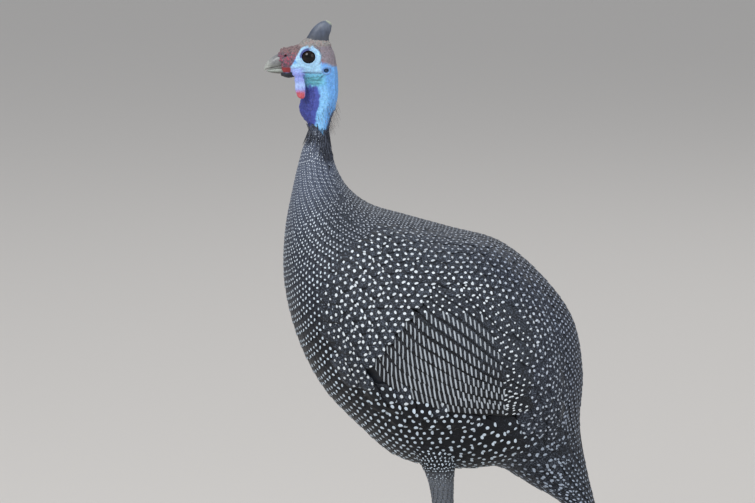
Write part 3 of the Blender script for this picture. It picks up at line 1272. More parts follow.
def underCoat(s, turn):
    # The body's skin: under the coat by its depth, raised where the folded wing lies
    point, normal, _, _ = surfaceFrame(onBody, s, turn, -1)
    atWing = (s > 4.3) & (s < 10.8)
    rise = np.where(atWing, np.maximum(wingRise(s, turn), 0), 0)
    depth = 0.2 + 1.4 * bodySpacing(s, turn) / 6 + 1.4 * smoothStep(4.6, 3.2, s)
    depth = np.minimum(depth, 0.9 * np.abs(point[..., 1] / np.maximum(np.abs(np.sin(turn)), 0.2)) + 0.4)
    return point + normal * (rise - depth)[..., None]


def makeBodySkin():
    # Rings of points with one more point at each end, and faces that look outwards
    rows, columns = 170, 144
    net = netPoints(underCoat, 0.75, 15.1, rows, columns)
    ends = net.reshape(rows, columns, 3)[[0, -1]].mean(1)
    first = np.arange(columns)
    last = (rows - 1) * columns + first
    faces = netFaces(rows, columns)[:, ::-1].tolist()
    faces += np.stack([np.full(columns, len(net)), np.roll(first, -1), first], 1).tolist()
    faces += np.stack([np.full(columns, len(net) + 1), last, np.roll(last, -1)], 1).tolist()
    return np.concatenate([net, ends]), faces


def closedMesh(name, points, faces):
    mesh = bpy.data.meshes.new(name)
    mesh.from_pydata((points / 1000).tolist(), [], faces)
    return addObject(name, mesh)


def readPoints(mesh):
    points = np.zeros(len(mesh.vertices) * 3)
    mesh.vertices.foreach_get("co", points)
    return points.reshape(-1, 3) * 1000


skinTones = {
    "sky": "#6caaec", "pale": "#8ccaf8", "throat": "#4855aa", "throatDark": "#2b2e70", "nape": "#2c3350",
    "eyeSkin": "#a8d6f7", "eyeRim": "#3a4088", "cheek": "#74bddf", "cheekGreen": "#58a0ac",
    "furrow": "#1d3650", "earRing": "#6f86b4", "cere": "#6d5768", "wart": "#a24254", "gape": "#8f3236",
    "chin": "#2b2e36", "forehead": "#857069", "crown": "#877e87", "crownDark": "#54464a",
    "foot": "#8f8c8a", "footPink": "#8e706e", "wattle": "#8f9be2", "wattlePale": "#a9c2ef",
    "wattleTip": "#bc5560", "down": "#23272f", "leg": "#565d66",
}


def skinColours(points):
    # The skin's markings, laid over each other from the widest to the smallest
    x, y, z = points[:, 0] - originShift, np.abs(points[:, 1]), points[:, 2]
    near = z > 360
    a, b = np.zeros(len(points)), np.zeros(len(points))
    mirrored = np.stack([x, y, z], 1)
    a[near], b[near] = ripple(mirrored[near], 2.2, 8), ripple(mirrored[near], 0.9, 9)
    xs, zs = x + 0.9 * a, z + 0.9 * a
    colour = np.tile(linear(skinTones["sky"]), (len(points), 1))

    def lay(tone, mask):
        colour[:] = colour + (linear(skinTones[tone]) - colour) * np.clip(mask, 0, 1)[:, None]

    fromEye = np.hypot(x - eye["x"], z - eye["z"])
    atSide = smoothStep(3.5, 6.5, y)
    # The throat is violet, the strip behind it pale, and the nape's edge dark
    edge = np.interp(z, [385, 392, 400, 407, 414, 425], [-99, -98.6, -98, -95.8, -95, -97])
    frayed = z + 1.7 * a + 0.7 * b
    lay("throat", smoothStep(1.2, -1.2, xs - edge) * smoothStep(430, 423, zs))
    streaky = 0.35 + 0.5 * smoothStep(-0.2, 0.5, b)
    lay("throatDark", smoothStep(-1.5, -5, xs - edge) * smoothStep(426, 419, zs) * streaky)
    lay("pale", between(xs - edge, -0.8, 1.2, 4.5, 9.5) * smoothStep(426, 418, zs) * (0.75 + 0.25 * a))
    cheek = smoothStep(419.5, 424.5, frayed) * smoothStep(433.5, 431, zs)
    lay("cheek", cheek * between(xs, -109, -106, -92.5, -89))
    lay("cheekGreen", 0.8 * between(frayed, 420.5, 424.5, 427, 430.5) * between(xs, -108, -104.5, -96, -92))
    collarLine = ([-104, -99, -97.5, -96, -94, -92, -90, -86], [389, 388, 384.5, 387, 385, 381, 386, 392])
    lay("nape", smoothStep(1.0, -1.0, z + 0.6 * b - np.interp(x, *collarLine)))
    backEdge = np.interp(z, [384, 393, 400, 404], [-91.5, -88.6, -86.2, -82])
    lay("nape", 0.9 * smoothStep(-0.6, 0.8, x + 0.5 * b - backEdge) * smoothStep(405, 400, z))
    # The face: pale skin round the eye, the crown and forehead browner
    faceRows = ([430, 434, 437, 441, 445, 450], [-117, -119.5, -117.8, -115.2, -113.3, -110.5])
    faceFront = np.interp(z + 0.5 * b, *faceRows)
    crownHigh = zs + 0.35 * (x + 92)
    lay("crown", smoothStep(438.5, 441.5, crownHigh))
    lay("crownDark", 0.55 * smoothStep(0.1, 0.5, b) * smoothStep(440, 442, crownHigh))
    lay("forehead", smoothStep(-98, -103, xs) * smoothStep(446.5, 449, zs))
    around = np.hypot((xs - eye["x"] - 0.1) * 0.97, zs - eye["z"] + 1.5)
    lay("eyeSkin", atSide * smoothStep(10.4, 9.2, around))
    lores = smoothStep(-0.6, 0.8, x - faceFront) * smoothStep(-92, -96, xs)
    lay("eyeSkin", atSide * lores * between(z, 431.2, 432.8, 438, 441))
    roll = smoothStep(-106, -110, xs) * smoothStep(438, 434, zs) * smoothStep(428, 430.5, z)
    lay("wattle", 0.8 * atSide * roll)
    brow = np.exp(-((fromEye - 10.1) / 0.55) ** 2) * smoothStep(-103, -99, x)
    lay("crownDark", 0.75 * atSide * brow * smoothStep(438, 440, z))
    bearing = np.degrees(np.arctan2(z - eye["z"], x - eye["x"]))
    upperFront = smoothStep(60, 100, bearing) + smoothStep(-165, -178, bearing)
    lay("eyeRim", atSide * smoothStep(7.6, 6.3, fromEye) * np.clip(upperFront, 0.12, 0.95))
    lay("furrow", 0.85 * atSide * np.exp(-((z - 431.9) / 0.5) ** 2) * between(x, -109.5, -107, -94.5, -92.5))
    for level, wide, depth in ((428.6, 0.4, 0.4), (426.0, 0.5, 0.5), (423.4, 0.5, 0.35)):
        wavy = z + 0.5 * a - level - 0.12 * (x + 100)
        lay("furrow", depth * atSide * np.exp(-(wavy / wide) ** 2) * between(x, -107, -104, -96, -92))
    slit = (z - 429.2) - 0.8 * (x + 93.6)
    lay("furrow", 0.8 * atSide * np.exp(-(slit / 0.8) ** 2) * np.exp(-((x + 93.6) / 1.9) ** 2))
    # The warty cere, the red corner of the mouth and the dark chin
    onCere = smoothStep(0.5, -0.9, x - faceFront) * smoothStep(434.2, 436.2, zs)
    lay("cere", onCere)
    lay("wart", 0.85 * onCere * smoothStep(0.0, 0.4, b + 0.5 * a) * smoothStep(452, 448, z))
    lay("forehead", 0.6 * onCere * smoothStep(445, 449.5, zs))
    lay("crownDark", 0.8 * onCere * smoothStep(-0.1, -0.4, b + 0.4 * a))
    lay("gape", smoothStep(-117.4, -118.6, x) * between(z, 431.4, 432.4, 435.6, 436.6))
    lay("chin", smoothStep(-113.5, -115.5, xs) * smoothStep(432.4, 431.4, zs) * smoothStep(6.2, 5.2, y))
    fromNostril = np.hypot((x - nostril["x"]) / 1.15, (z - nostril["z"]) * 1.5)
    lay("chin", 0.92 * atSide * smoothStep(1.5, 0.7, fromNostril))
    fromEar = np.hypot(x - ear["x"], (z - ear["z"]) * 1.15)
    lay("earRing", 0.7 * atSide * np.exp(-((fromEar - 3.1) / 0.7) ** 2))
    lay("chin", 0.85 * atSide * smoothStep(2.4, 1.5, fromEar))
    lay("earRing", 0.45 * atSide * smoothStep(1.1, 0.4, np.hypot(x - ear["x"] + 0.4, z - ear["z"])))
    rust = np.exp(-((x + 92.4) / 1.6) ** 2 - ((z - 440.6) / 1.8) ** 2)
    lay("wart", 0.6 * atSide * rust * smoothStep(-0.2, 0.3, b))
    # Helmet foot
    onFoot = smoothStep(451.5, 454.0, zs) * smoothStep(-113, -110, x)
    lay("foot", onFoot)
    lay("footPink", 0.4 * onFoot * smoothStep(0.0, 0.45, a))
    lay("crownDark", 0.5 * onFoot * smoothStep(0.15, 0.5, -b))
    # Wattles
    outer = between(z, 409, 411, 430.2, 433.4) * smoothStep(6.2, 7.4, y) * smoothStep(-106.3, -107.6, x)
    lay("wattle", outer)
    lay("wattlePale", outer * 0.8 * np.exp(-((zs - 422.5) / 3.0) ** 2))
    lay("wattleTip", outer * smoothStep(420, 416, zs + 0.8 * b))
    # Under the feathers the skin is nearly as dark as they are
    lay("down", smoothStep(384, 379, z))
    lay("leg", smoothStep(96, 92, z) * (np.abs(x) < 60))
    fibres = np.zeros(len(points))
    fibres[near] = ripple(mirrored[near], 0.8, 10, (1, 1, 4))
    onNeck = smoothStep(432, 424, z)
    shade = 1 + 0.12 * a + 0.14 * b + 0.2 * fibres * onNeck
    return np.clip(colour * shade[:, None], 0, 1)


def skinMap(piece):
    # The head unrolled round the neck's axis takes the map's upper part, body and legs share the rest
    mesh = piece.data
    corner = np.zeros(len(mesh.loops), int)
    mesh.loops.foreach_get("vertex_index", corner)
    face = np.zeros(len(mesh.polygons), int)
    mesh.polygons.foreach_get("loop_total", face)
    owner = np.repeat(np.arange(len(face)), face)
    p = readPoints(mesh)[corner]
    high = np.zeros(len(face))
    np.maximum.at(high, owner, p[:, 2])
    onHead = high[owner] > 372
    axisX = np.where(onHead, -97 + originShift, np.where(p[:, 2] > 130, 10, 0))
    sideOf = np.where((high[owner] < 130) & (np.abs(p[:, 1]) > 8), np.sign(p[:, 1]), 0)
    around = np.arctan2(p[:, 1] - sideOf * 36.5, p[:, 0] - axisX) / (2 * math.pi) % 1
    # A face that crosses the seam is kept whole beyond it
    widest, least = np.zeros(len(face)), np.ones(len(face))
    np.maximum.at(widest, owner, around)
    np.minimum.at(least, owner, around)
    wrapped = (widest - least > 0.5)[owner] & (around < 0.5)
    around = around + wrapped
    below = np.where(sideOf == 0, 0.02 + 0.4 * around, 0.6 + 0.1 * sideOf + 0.16 * around)
    u = np.where(onHead, 0.02 + 0.9 * around, below)
    v = np.where(onHead, 0.42 + 0.56 * (p[:, 2] - 368) / 105, 0.01 + 0.38 * p[:, 2] / 380)
    layer = mesh.uv_layers.new(name="OFBake")
    layer.uv.foreach_set("vector", np.stack([u, np.clip(v, 0, 1)], 1).ravel())


def bareSkinMaterial():
    # Bare, finely wrinkled skin: matt, with a faint oily gleam on the folds
    material, tree, shader, place = newMaterial("bareSkin", Roughness=0.5, Specular_IOR_Level=0.4,
                                                Subsurface_Weight=0.06, Subsurface_Scale=0.0015)
    # Pores and papillae about 0.6 mm apart
    cells = addNode(tree, "ShaderNodeTexVoronoi", {"Vector": place, "Scale": 1500.0})
    pores = addNode(tree, "ShaderNodeTexNoise", {"Vector": place, "Scale": 700.0, "Detail": 4.0})
    height = addNode(tree, "ShaderNodeMath", {0: cells.outputs["Distance"], 1: pores.outputs["Fac"]},
                     operation="ADD")
    bump = addNode(tree, "ShaderNodeBump",
                   {"Height": height.outputs[0], "Strength": 0.5, "Distance": 0.00022})
    mottle(tree, shader, "tint", pores.outputs["Fac"], (0.3, 0.7), (0.84, 1.14))
    tree.links.new(bump.outputs["Normal"], shader.inputs["Normal"])
    return material


def buildSkin():
    # Head and legs are grown as distance fields and joined to the body's net
    skin = closedMesh("skin", *makeBodySkin())
    others = []
    for points, quads in (makeHeadSkin(), *[makeLegSkin(side) for side in sides.values()]):
        others.append(closedMesh("limb", points + (originShift, 0, 0), quads.tolist()))
    for other in others:
        join = skin.modifiers.new("join", "BOOLEAN")
        join.operation, join.solver, join.object = "UNION", "EXACT", other
    joined = bpy.data.meshes.new_from_object(skin.evaluated_get(bpy.context.evaluated_depsgraph_get()))
    skin.modifiers.clear()
    skin.data = joined
    for other in others:
        bpy.data.objects.remove(other)
    joined.polygons.foreach_set("use_smooth", np.ones(len(joined.polygons), bool))
    joined.materials.clear()
    joined.materials.append(bareSkinMaterial())
    paint(skin, "tint", skinColours(readPoints(joined)))
    skinMap(skin)
    print("skin", len(joined.polygons), "faces")
    nodes = ["head", "neck_upper", "neck", "trunk", "tail"]
    for name in sides:
        nodes += [f"{part}_{name}" for part in ("wing", "thigh", "shank", "wattle")]
        nodes += [f"toe_{toe}_{name}" for toe in toes]
    settle(skin, "bare_skin", *nodes)


buildSkin()
print("skin done")


# The horn parts, the eyes and the claws, in mm like the solids
upperBillSlices = [
    (-139.5, 432.6, -139.5, 432.6, 0), (-137.9, 437.6, -137.4, 433.8, 1.7), (-134.2, 442, -133.2, 434.9, 3),
    (-129.4, 445.2, -128.2, 435.9, 3.9), (-124.2, 447.4, -123.2, 436.3, 4.5), (-119.5, 446, -119, 436.6, 3.6),
    (-117.5, 441, -117.5, 441, 0),
]
lowerBillSlices = [
    (-137.2, 432.7, -137.2, 432.7, 0), (-135.4, 433.9, -135, 431.8, 1.8), (-129.4, 435.3, -129, 430.8, 3.1),
    (-123.4, 435.7, -123, 430.6, 3.8), (-118.5, 435.4, -118.5, 431, 3.2), (-116.5, 433.3, -116.5, 433.3, 0),
]
helmetSlices = [
    (-97, 444, -97, 444, 0), (-86.5, 449, -112, 450, 7), (-87.6, 454.5, -108.2, 455.5, 5.2),
    (-88, 459, -105.5, 459, 4.8), (-86.2, 465.5, -101.8, 465, 4.4), (-85.9, 469.5, -98.4, 468.8, 3.6),
    (-87.6, 471.8, -94.6, 471.4, 2.2), (-90.4, 472.6, -90.4, 472.6, 0),
]
hornTones = {
    "billDark": "#5b5855", "bill": "#7c7e80", "billTip": "#adb1ab", "billEdge": "#3f3d35",
    "lowerBill": "#8c938d", "helmet": "#495265", "helmetDark": "#3a404c", "helmetTop": "#656e7e",
    "helmetRim": "#b9c0a4", "claw": "#2b2826", "clawTip": "#5a534c",
}


def closedNet(name, place, last, rows, columns, material):
    # A closed smooth surface from just inside station 0 to just inside the last, with a point at each end
    net = netPoints(place, 1e-3, last - 1e-3, rows, columns)
    ends = net.reshape(rows, columns, 3)[[0, -1]].mean(1)
    first = np.arange(columns)
    after = np.roll(first, -1)
    start = (rows - 1) * columns
    faces = netFaces(rows, columns).tolist()
    faces += np.stack([after, first, np.full(columns, len(net))], 1).tolist()
    faces += np.stack([start + first, start + after, np.full(columns, len(net) + 1)], 1).tolist()
    piece = newPiece(name, np.concatenate([net, ends]), faces, material)
    faceOutwards(piece)
    return piece


def faceOutwards(piece):
    # Turns a closed mesh the right way round, by the sign of its volume
    mesh = piece.data
    mesh.calc_loop_triangles()
    corner = np.zeros(len(mesh.loop_triangles) * 3, int)
    mesh.loop_triangles.foreach_get("vertices", corner)
    a, b, c = readPoints(mesh)[corner.reshape(-1, 3)].transpose(1, 0, 2)
    if (np.cross(a, b) * c).sum() < 0:
        mesh.flip_normals()


def movePoints(piece, points):
    piece.data.vertices.foreach_set("co", (points / 1000).ravel())
    piece.data.update()


def hornMaterial(name, roughness, ridge, strength):
    # Keratin horn: satin, with growth lines round it
    material, tree, shader, place = newMaterial(name, Roughness=roughness, IOR=1.55, Coat_Weight=0.15,
                                                Coat_Roughness=0.35)
    stretched = addNode(tree, "ShaderNodeMapping", {"Vector": place, "Scale": ridge})
    lines = addNode(tree, "ShaderNodeTexNoise", {
        "Vector": stretched.outputs["Vector"], "Scale": 1.0, "Detail": 5.0, "Roughness": 0.65,
    })
    mottle(tree, shader, "tint", lines.outputs["Fac"], (0.3, 0.7), (0.72, 1.22))
    bump = addNode(tree, "ShaderNodeBump",
                   {"Height": lines.outputs["Fac"], "Strength": strength, "Distance": 0.0004})
    tree.links.new(bump.outputs["Normal"], shader.inputs["Normal"])
    return material


def mixTones(count, steps):
    # Colours laid over each other: (name, mask) pairs from the ground up
    colour = np.tile(linear(hornTones[steps[0][0]]), (count, 1))
    for name, mask in steps[1:]:
        colour += (linear(hornTones[name]) - colour) * np.clip(mask, 0, 1)[:, None]
    return colour


def buildBill():
    finish = hornMaterial("billHorn", 0.38, (900.0, 300.0, 500.0), 0.25)
    for name, slices in (("upper", upperBillSlices), ("lower", lowerBillSlices)):
        bill = closedNet(f"bill_{name}_horn", slicedSurface(slices), len(slices) - 1, 60, 48, finish)
        points = readPoints(bill.data)
        x, y, z = points[:, 0] - originShift, points[:, 1], points[:, 2]
        ripples = ripple(points, 2.2, 12)
        if name == "upper":
            # The culmen is drawn to a soft ridge and the cutting edge turns under
            ridge = np.exp(-(y / 1.1) ** 2) * smoothStep(436.5, 440, z)
            points[:, 2] += 0.35 * ridge
            tuck = np.exp(-((z - 436.6) / 0.7) ** 2) * smoothStep(0.4, 1.2, np.abs(y))
            points[:, 1] -= np.sign(y) * 0.35 * tuck
            tip = smoothStep(-131.5, -137.5, x + 0.5 * ripples)
            edge = smoothStep(436.6, 435.2, z) * smoothStep(-136, -132, x)
            steps = [
                ("bill", None), ("billDark", smoothStep(-129, -123, x + ripples)), ("billTip", 0.8 * tip),
                ("billTip", 0.45 * between(z, 435.6, 436.6, 437, 438.8)), ("billEdge", 0.85 * edge),
            ]
        else:
            steps = [
                ("lowerBill", None), ("billDark", smoothStep(432.8, 431.2, z + 0.2 * ripples)),
                ("billEdge", 0.6 * smoothStep(434.4, 435.2, z)), ("billDark", smoothStep(-127, -122, x)),
            ]
        movePoints(bill, points)
        paint(bill, "tint", mixTones(len(points), steps))
        settle(bill, "bill_horn", f"bill_{name}")


def buildHelmet():
    finish = hornMaterial("helmetHorn", 0.55, (420.0, 420.0, 160.0), 0.5)
    # Only the horn above the skin's knobbly foot, with its root let in
    helmet = closedNet("helmet_horn", slicedSurface(helmetSlices), len(helmetSlices) - 1, 120, 56, finish)
    points = readPoints(helmet.data)
    x, z = points[:, 0] - originShift, points[:, 2]
    # Outwards from a middle that leans back towards the tip
    lean = np.interp(z, [444, 472], [0, 1])[:, None] * np.array([6, 0, 17])
    out = points - (np.array([originShift, 0, 0]) + lean + np.array([-97, 0, 455]))
    out /= np.maximum(np.linalg.norm(out, axis=1, keepdims=True), 1e-6)
    lumps = ripple(points, 2.0, 14, (1, 1, 2.2))
    fine = ripple(points, 0.9, 15, (1, 1, 3))
    horn = smoothStep(455, 459, z)
    # Inside the skin below, lumpy where the horn leaves it, and lightly grooved above
    points += out * (0.28 * lumps * smoothStep(470, 462, z) + 0.12 * fine)[:, None] * horn[:, None]
    points -= out * (1.2 * smoothStep(457.5, 453, z))[:, None]
    rear = smoothStep(3.9, 4.8, 0.62 * (x + 92.5) + 0.78 * (z - 468.3)) * smoothStep(465, 467, z)
    steps = [
        ("helmet", None), ("helmetTop", 0.7 * smoothStep(463, 469, z + lumps)),
        ("helmetDark", 0.8 * smoothStep(463.5, 459, z + 1.2 * lumps)),
        ("helmetDark", 0.5 * smoothStep(-97, -101, x) * smoothStep(466, 461, z)),
        ("helmetRim", 0.75 * rear * (0.75 + 0.5 * lumps)),
    ]
    movePoints(helmet, points)
    paint(helmet, "tint", mixTones(len(points), steps))
    settle(helmet, "helmet_horn", "helmet")


def buildEyes():
    # Wet cornea over a dark iris: nearly black, with one sharp highlight
    material, tree, shader, place = newMaterial("wetEye", Roughness=0.06, IOR=1.36)
    away = addNode(tree, "ShaderNodeAttribute", attribute_name="away")
    fibres = addNode(tree, "ShaderNodeTexNoise", {"Vector": place, "Scale": 1800.0, "Detail": 3.0})
    # The attribute counts from the pupil's middle to the iris's rim, and the noise adds about a quarter
    rough = addNode(tree, "ShaderNodeMath", {0: fibres.outputs["Fac"], 1: 0.5, 2: away.outputs["Fac"]},
                    operation="MULTIPLY_ADD")
    ring = addNode(tree, "ShaderNodeMath", {0: rough.outputs[0], 1: -0.25}, operation="ADD")
    ramp = addNode(tree, "ShaderNodeValToRGB", {"Fac": ring.outputs[0]})
    stops = [(0.0, "#030304"), (0.44, "#040405"), (0.52, "#150c09"), (0.85, "#1d120d"), (1.0, "#060505")]
    bands = ramp.color_ramp.elements
    for k, (at, tone) in enumerate(stops):
        band = bands[k] if k < 2 else bands.new(at)
        band.position = at
        band.color = (*linear(tone), 1)
    tree.links.new(ramp.outputs["Color"], shader.inputs["Base Color"])
    for name, side in sides.items():
        def onBall(ring, turn):
            ring, turn = np.broadcast_arrays(ring, turn)
            r = eye["radius"]
            return np.stack([
                eye["x"] + originShift + r * np.sin(ring) * np.cos(turn),
                side * (eye["y"] + r * np.cos(ring)),
                eye["z"] + r * np.sin(ring) * np.sin(turn),
            ], -1)

        ball = closedNet(f"eyeball_{name}", onBall, math.pi, 60, 56, material)
        points = readPoints(ball.data)
        off = np.hypot(points[:, 0] - originShift - eye["x"], points[:, 2] - eye["z"])
        front = np.abs(points[:, 1]) > eye["y"] - 1
        paint(ball, "away", np.where(front, off / 5.6, 1.0))
        settle(ball, "eye", f"eye_{name}")


def buildClaws():
    finish = hornMaterial("clawHorn", 0.34, (700.0, 700.0, 500.0), 0.2)
    for name, side in sides.items():
        for toeName, toe in toes.items():
            way = toeWay(toe, side)
            across = np.array([-way[1], way[0], 0])
            foot = np.array([footMiddle[0] + originShift, side * footMiddle[1], 0])

            def place(v, turn):
                v, turn = np.broadcast_arrays(v, turn)
                far = toe["length"] - 3 + v * (toe["claw"] + 3)
                half = 1.75 * np.sqrt(np.minimum(1, 6 * v)) * np.maximum(1 - v, 0) ** 0.75
                rise = 2.9 + 1.1 * np.sin(math.pi * v) - 2.4 * v ** 2
                base = foot + far[..., None] * way
                spread = half[..., None] * np.cos(turn)[..., None] * across * 0.85
                lift = (rise + half * np.sin(turn))[..., None] * np.array([0, 0, 1])
                return base + spread + lift

            claw = closedNet(f"claw_{toeName}_{name}_horn", place, 1.0, 22, 14, finish)
            points = readPoints(claw.data)
            points[:, 2] = np.maximum(points[:, 2], 0.05)
            movePoints(claw, points)
            away = (points - foot) @ way
            tip = smoothStep(toe["length"] + 0.5 * toe["claw"], toe["length"] + toe["claw"], away)
            paint(claw, "tint", mixTones(len(points), [("claw", None), ("clawTip", 0.8 * tip)]))
            settle(claw, "claw_horn", f"claw_{toeName}_{name}")


# Plates in mm: two rows down the front of the shank, smaller ones round its back and one row on each toe
scutes = {
    "bottom": 9.0, "top": 75.0, "tall": 4.1, "step": 0.82, "sides": 10,
    "front": {"turns": (153, 207), "size": (0.55, 2.1, 2.296), "sunk": 0.12, "lean": -0.1},
    "back": {"turns": (-40, 0, 40, 90, -90), "size": (0.45, 1.35, 1.9), "sunk": 0.2, "lean": -0.06},
    "toe": {"step": 2.6, "thick": 0.62, "halfTall": 1.62, "sunk": 0.35, "lean": 0.1},
}


def scuteTree(material):
    # Instances a flattened horny plate on each point, turned and sized by the point's own attributes
    tree = bpy.data.node_groups.new("scutes", "GeometryNodeTree")
    tree.interface.new_socket("Geometry", in_out="INPUT", socket_type="NodeSocketGeometry")
    sides = tree.interface.new_socket("Sides", in_out="INPUT", socket_type="NodeSocketInt")
    tree.interface.new_socket("Geometry", in_out="OUTPUT", socket_type="NodeSocketGeometry")
    start = addNode(tree, "NodeGroupInput")
    plate = addNode(tree, "GeometryNodeMeshUVSphere",
                    {"Segments": start.outputs["Sides"], "Rings": 6, "Radius": 1.0})
    turn = addNode(tree, "GeometryNodeInputNamedAttribute", {"Name": "turn"}, data_type="FLOAT_VECTOR")
    size = addNode(tree, "GeometryNodeInputNamedAttribute", {"Name": "size"}, data_type="FLOAT_VECTOR")
    turned = addNode(tree, "FunctionNodeEulerToRotation", {"Euler": turn.outputs["Attribute"]})
    spread = addNode(tree, "GeometryNodeInstanceOnPoints", {
        "Points": start.outputs["Geometry"], "Instance": plate.outputs["Mesh"],
        "Rotation": turned.outputs["Rotation"], "Scale": size.outputs["Attribute"],
    })
    real = addNode(tree, "GeometryNodeRealizeInstances", {"Geometry": spread.outputs["Instances"]})
    done = addNode(tree, "GeometryNodeSetMaterial",
                   {"Geometry": real.outputs["Geometry"], "Material": material})
    addNode(tree, "NodeGroupOutput", {"Geometry": done.outputs["Geometry"]})
    return tree, sides.identifier


def legMaterial():
    # Scaly leg skin: slate grey plates, satin, darker between them
    material, tree, shader, place = newMaterial("legScales", Roughness=0.5, Specular_IOR_Level=0.4)
    grime = addNode(tree, "ShaderNodeTexNoise", {"Vector": place, "Scale": 320.0, "Detail": 5.0})
    fine = addNode(tree, "ShaderNodeTexVoronoi", {"Vector": place, "Scale": 1300.0})
    tone = addNode(tree, "ShaderNodeMix",
                   {"Factor": grime.outputs["Fac"], 6: (*linear("#3d434b"), 1), 7: (*linear("#6f767e"), 1)},
                   data_type="RGBA")
    bump = addNode(tree, "ShaderNodeBump",
                   {"Height": fine.outputs["Distance"], "Strength": 0.3, "Distance": 0.0002})
    tree.links.new(tone.outputs[2], shader.inputs["Base Color"])
    tree.links.new(bump.outputs["Normal"], shader.inputs["Normal"])
    return material


def buildScutes():
    finish = legMaterial()
    tree, sidesInput = scuteTree(finish)
    places, turns, sizes = [], [], []

    def addPlate(surface, ring, turn, kind):
        point, normal, _, _ = surfaceFrame(surface, np.array([ring]), np.array([turn]))
        out = normal[0] * np.sign(normal[0] @ np.array([math.cos(turn), math.sin(turn), 0]))
        places.append(point[0] - out * kind["sunk"])
        turns.append((0, kind["lean"], math.atan2(out[1], out[0])))
        sizes.append(kind["size"])

    for side in sides.values():
        shank = ringedSurface(shankRings, side)
        rings = np.linspace(1.05, len(shankRings) - 2.4, 400)
        heights = shank(rings, np.full(400, math.pi))[:, 2]
        for z in np.arange(scutes["bottom"], scutes["top"], scutes["tall"] * scutes["step"]):
            ring = np.interp(-z, -heights, rings)
            for k, turn in enumerate(np.radians(scutes["front"]["turns"])):
                addPlate(shank, ring + 0.12 * k, turn, scutes["front"])
            for turn in np.radians(scutes["back"]["turns"]):
                addPlate(shank, ring + 0.1 * math.cos(turn * 3), turn, scutes["back"])
        kind = scutes["toe"]
        for toe in toes.values():
            way = toeWay(toe, side)
            for far in np.arange(6.5 if toe["length"] > 20 else 3, toe["length"] + 1, kind["step"]):
                rise, girth = toeShape(toe, far / toe["length"])
                top = rise + girth - kind["sunk"]
                foot = np.array([footMiddle[0] + originShift, side * footMiddle[1], top])
                places.append(foot + far * way)
                turns.append((0, -math.pi / 2 + kind["lean"], math.atan2(way[1], way[0])))
                sizes.append((kind["thick"], girth * 0.86, kind["halfTall"]))
    cloud = bpy.data.meshes.new("scutePoints")
    cloud.from_pydata((np.array(places) / 1000).tolist(), [], [])
    for name, values in (("turn", turns), ("size", np.array(sizes) / 1000)):
        layer = cloud.attributes.new(name, "FLOAT_VECTOR", "POINT")
        layer.data.foreach_set("vector", np.array(values, float).ravel())
    holder = addObject("leg_scutes", cloud)
    grow = holder.modifiers.new("scutes", "NODES")
    grow.node_group = tree
    grow[sidesInput] = scutes["sides"]
    made = bpy.data.meshes.new_from_object(holder.evaluated_get(bpy.context.evaluated_depsgraph_get()))
    holder.modifiers.clear()
    holder.data = made
    made.polygons.foreach_set("use_smooth", np.ones(len(made.polygons), bool))
    points = readPoints(made)
    points[:, 2] = np.maximum(points[:, 2], 0.1)
    movePoints(holder, points)
    settle(holder, "leg_scales")
    print("leg scutes", len(made.polygons), "faces")


plumes = {
    "nape": 120, "collar": 520, "length": (6, 13), "half": 0.13, "steps": 7,
    "dark": "#2a2f3c", "napePale": "#8d7d74", "collarPale": "#565d6e",
}
# The feathered neck's outside: height, nape, throat and half width
collarRows = np.array([
    (348, -79, -116, 21), (357.5, -82, -113, 17.8), (366, -84.3, -111, 14.4), (374, -86.5, -109, 12),
    (380, -87.3, -106.5, 10.2), (386.5, -88, -104, 8.8), (394.5, -86, -107.6, 8.6), (400, -84.3, -110.8, 9),
])


def hairMaterial():
    # Dry hair-like feathers: matt, slightly streaked
    material, tree, shader, place = newMaterial("hairFeather", Roughness=0.6)
    streak = addNode(tree, "ShaderNodeTexNoise", {"Vector": place, "Scale": 600.0})
    mottle(tree, shader, "tone", streak.outputs["Fac"], (0, 1), (0.7, 1.3))
    return material


def neckAt(rows, level):
    # The neck's middle at a height, and how far it reaches from there lengthwise and sideways
    back, front, half = [np.interp(level, rows[:, 0], rows[:, k]) for k in (1, 2, 3)]
    return np.array([(back + front) / 2 + originShift, 0, level]), np.array([(back - front) / 2, half, 0])


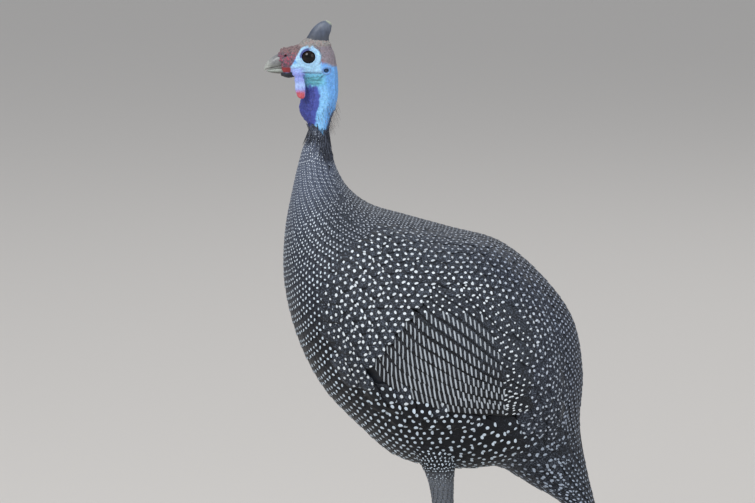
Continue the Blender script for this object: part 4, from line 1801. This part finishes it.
def buildPlumes():
    points, faces, tones, patches = [], [], [], []
    bareRows = catmullRom(neckRows, np.linspace(0, len(neckRows) - 1, 200))
    steps = plumes["steps"]
    for k in range(plumes["nape"] + plumes["collar"]):
        # The first ones stand along the nape, the rest lie flat as a dark streaky collar in two rows
        flat = k >= plumes["nape"]
        low = flat and k % 2
        z = rng.uniform(368, 382) if low else rng.uniform(379, 392) if flat else rng.uniform(376, 411)
        turn = rng.normal(0, 0.8) if low or not flat else rng.uniform(-math.pi, math.pi)
        if low:
            turn = math.copysign(0.35 + 0.9 * abs(turn), turn)
        if flat:
            z -= 3 * max(0, math.cos(turn))
        out = np.array([math.cos(turn), math.sin(turn), 0])
        across = np.array([-out[1], out[0], 0])
        length = rng.uniform(*plumes["length"]) * (0.6 + 0.4 * (z > 392))
        lift = rng.uniform(0.06, 0.4) * math.cos(turn / 2)  # drawn for flat ones too, to keep the order
        wide = plumes["half"] * (rng.uniform(1.6, 3.2) if flat else 1)
        sway = rng.normal(0, 0.12)
        middle, reach = neckAt(bareRows, z)
        foot = middle + out * reach
        base = len(points)
        for j in range(steps):
            t = j / (steps - 1)
            if flat:
                middle, reach = neckAt(collarRows, z - length * t)
                spine = middle + out * (reach + 0.5 * t - 0.3)
            else:
                rise = lift * length * t * (1 - 0.35 * t) + 1.2 * t - 0.5
                spine = foot + out * rise + np.array([0.12, 0, -1]) * length * t
            spine = spine + across * sway * length * t ** 2
            half = wide * (1 - t) ** 0.6 + 0.02
            points += [spine + across * half, spine - across * half, spine + out * half * 0.8]
            if j:
                at = base + 3 * j
                faces += [(at - 3 + a, at - 3 + b, at + b, at + a) for a, b in ((0, 1), (1, 2), (2, 0))]
        end = base + 3 * steps
        faces += [(base + 2, base + 1, base), (end - 3, end - 2, end - 1)]
        pale = "collarPale" if flat else "napePale"
        tones += [linear(plumes[pale if rng.random() < 0.3 else "dark"])] * (3 * steps)
        home = unwrapBody(np.array([15.4]), np.array([turn]))[0] + (0, 0.1 * (z - 381) / 30)
        patches += [home + patchWide * np.array([0.5, j / steps]) for j in range(steps) for _ in range(3)]
    piece = newPiece("nape_plumes", points, faces, hairMaterial())
    faceOutwards(piece)
    paint(piece, "tone", np.array(tones))
    mapPiece(piece, "OFBake", np.array(patches))
    settle(piece, "plumage")


buildBill()
buildHelmet()
buildEyes()
buildClaws()
buildScutes()
buildPlumes()
print("bill, helmet, eyes, legs and claws done")


buildCoat()
print("coat done")
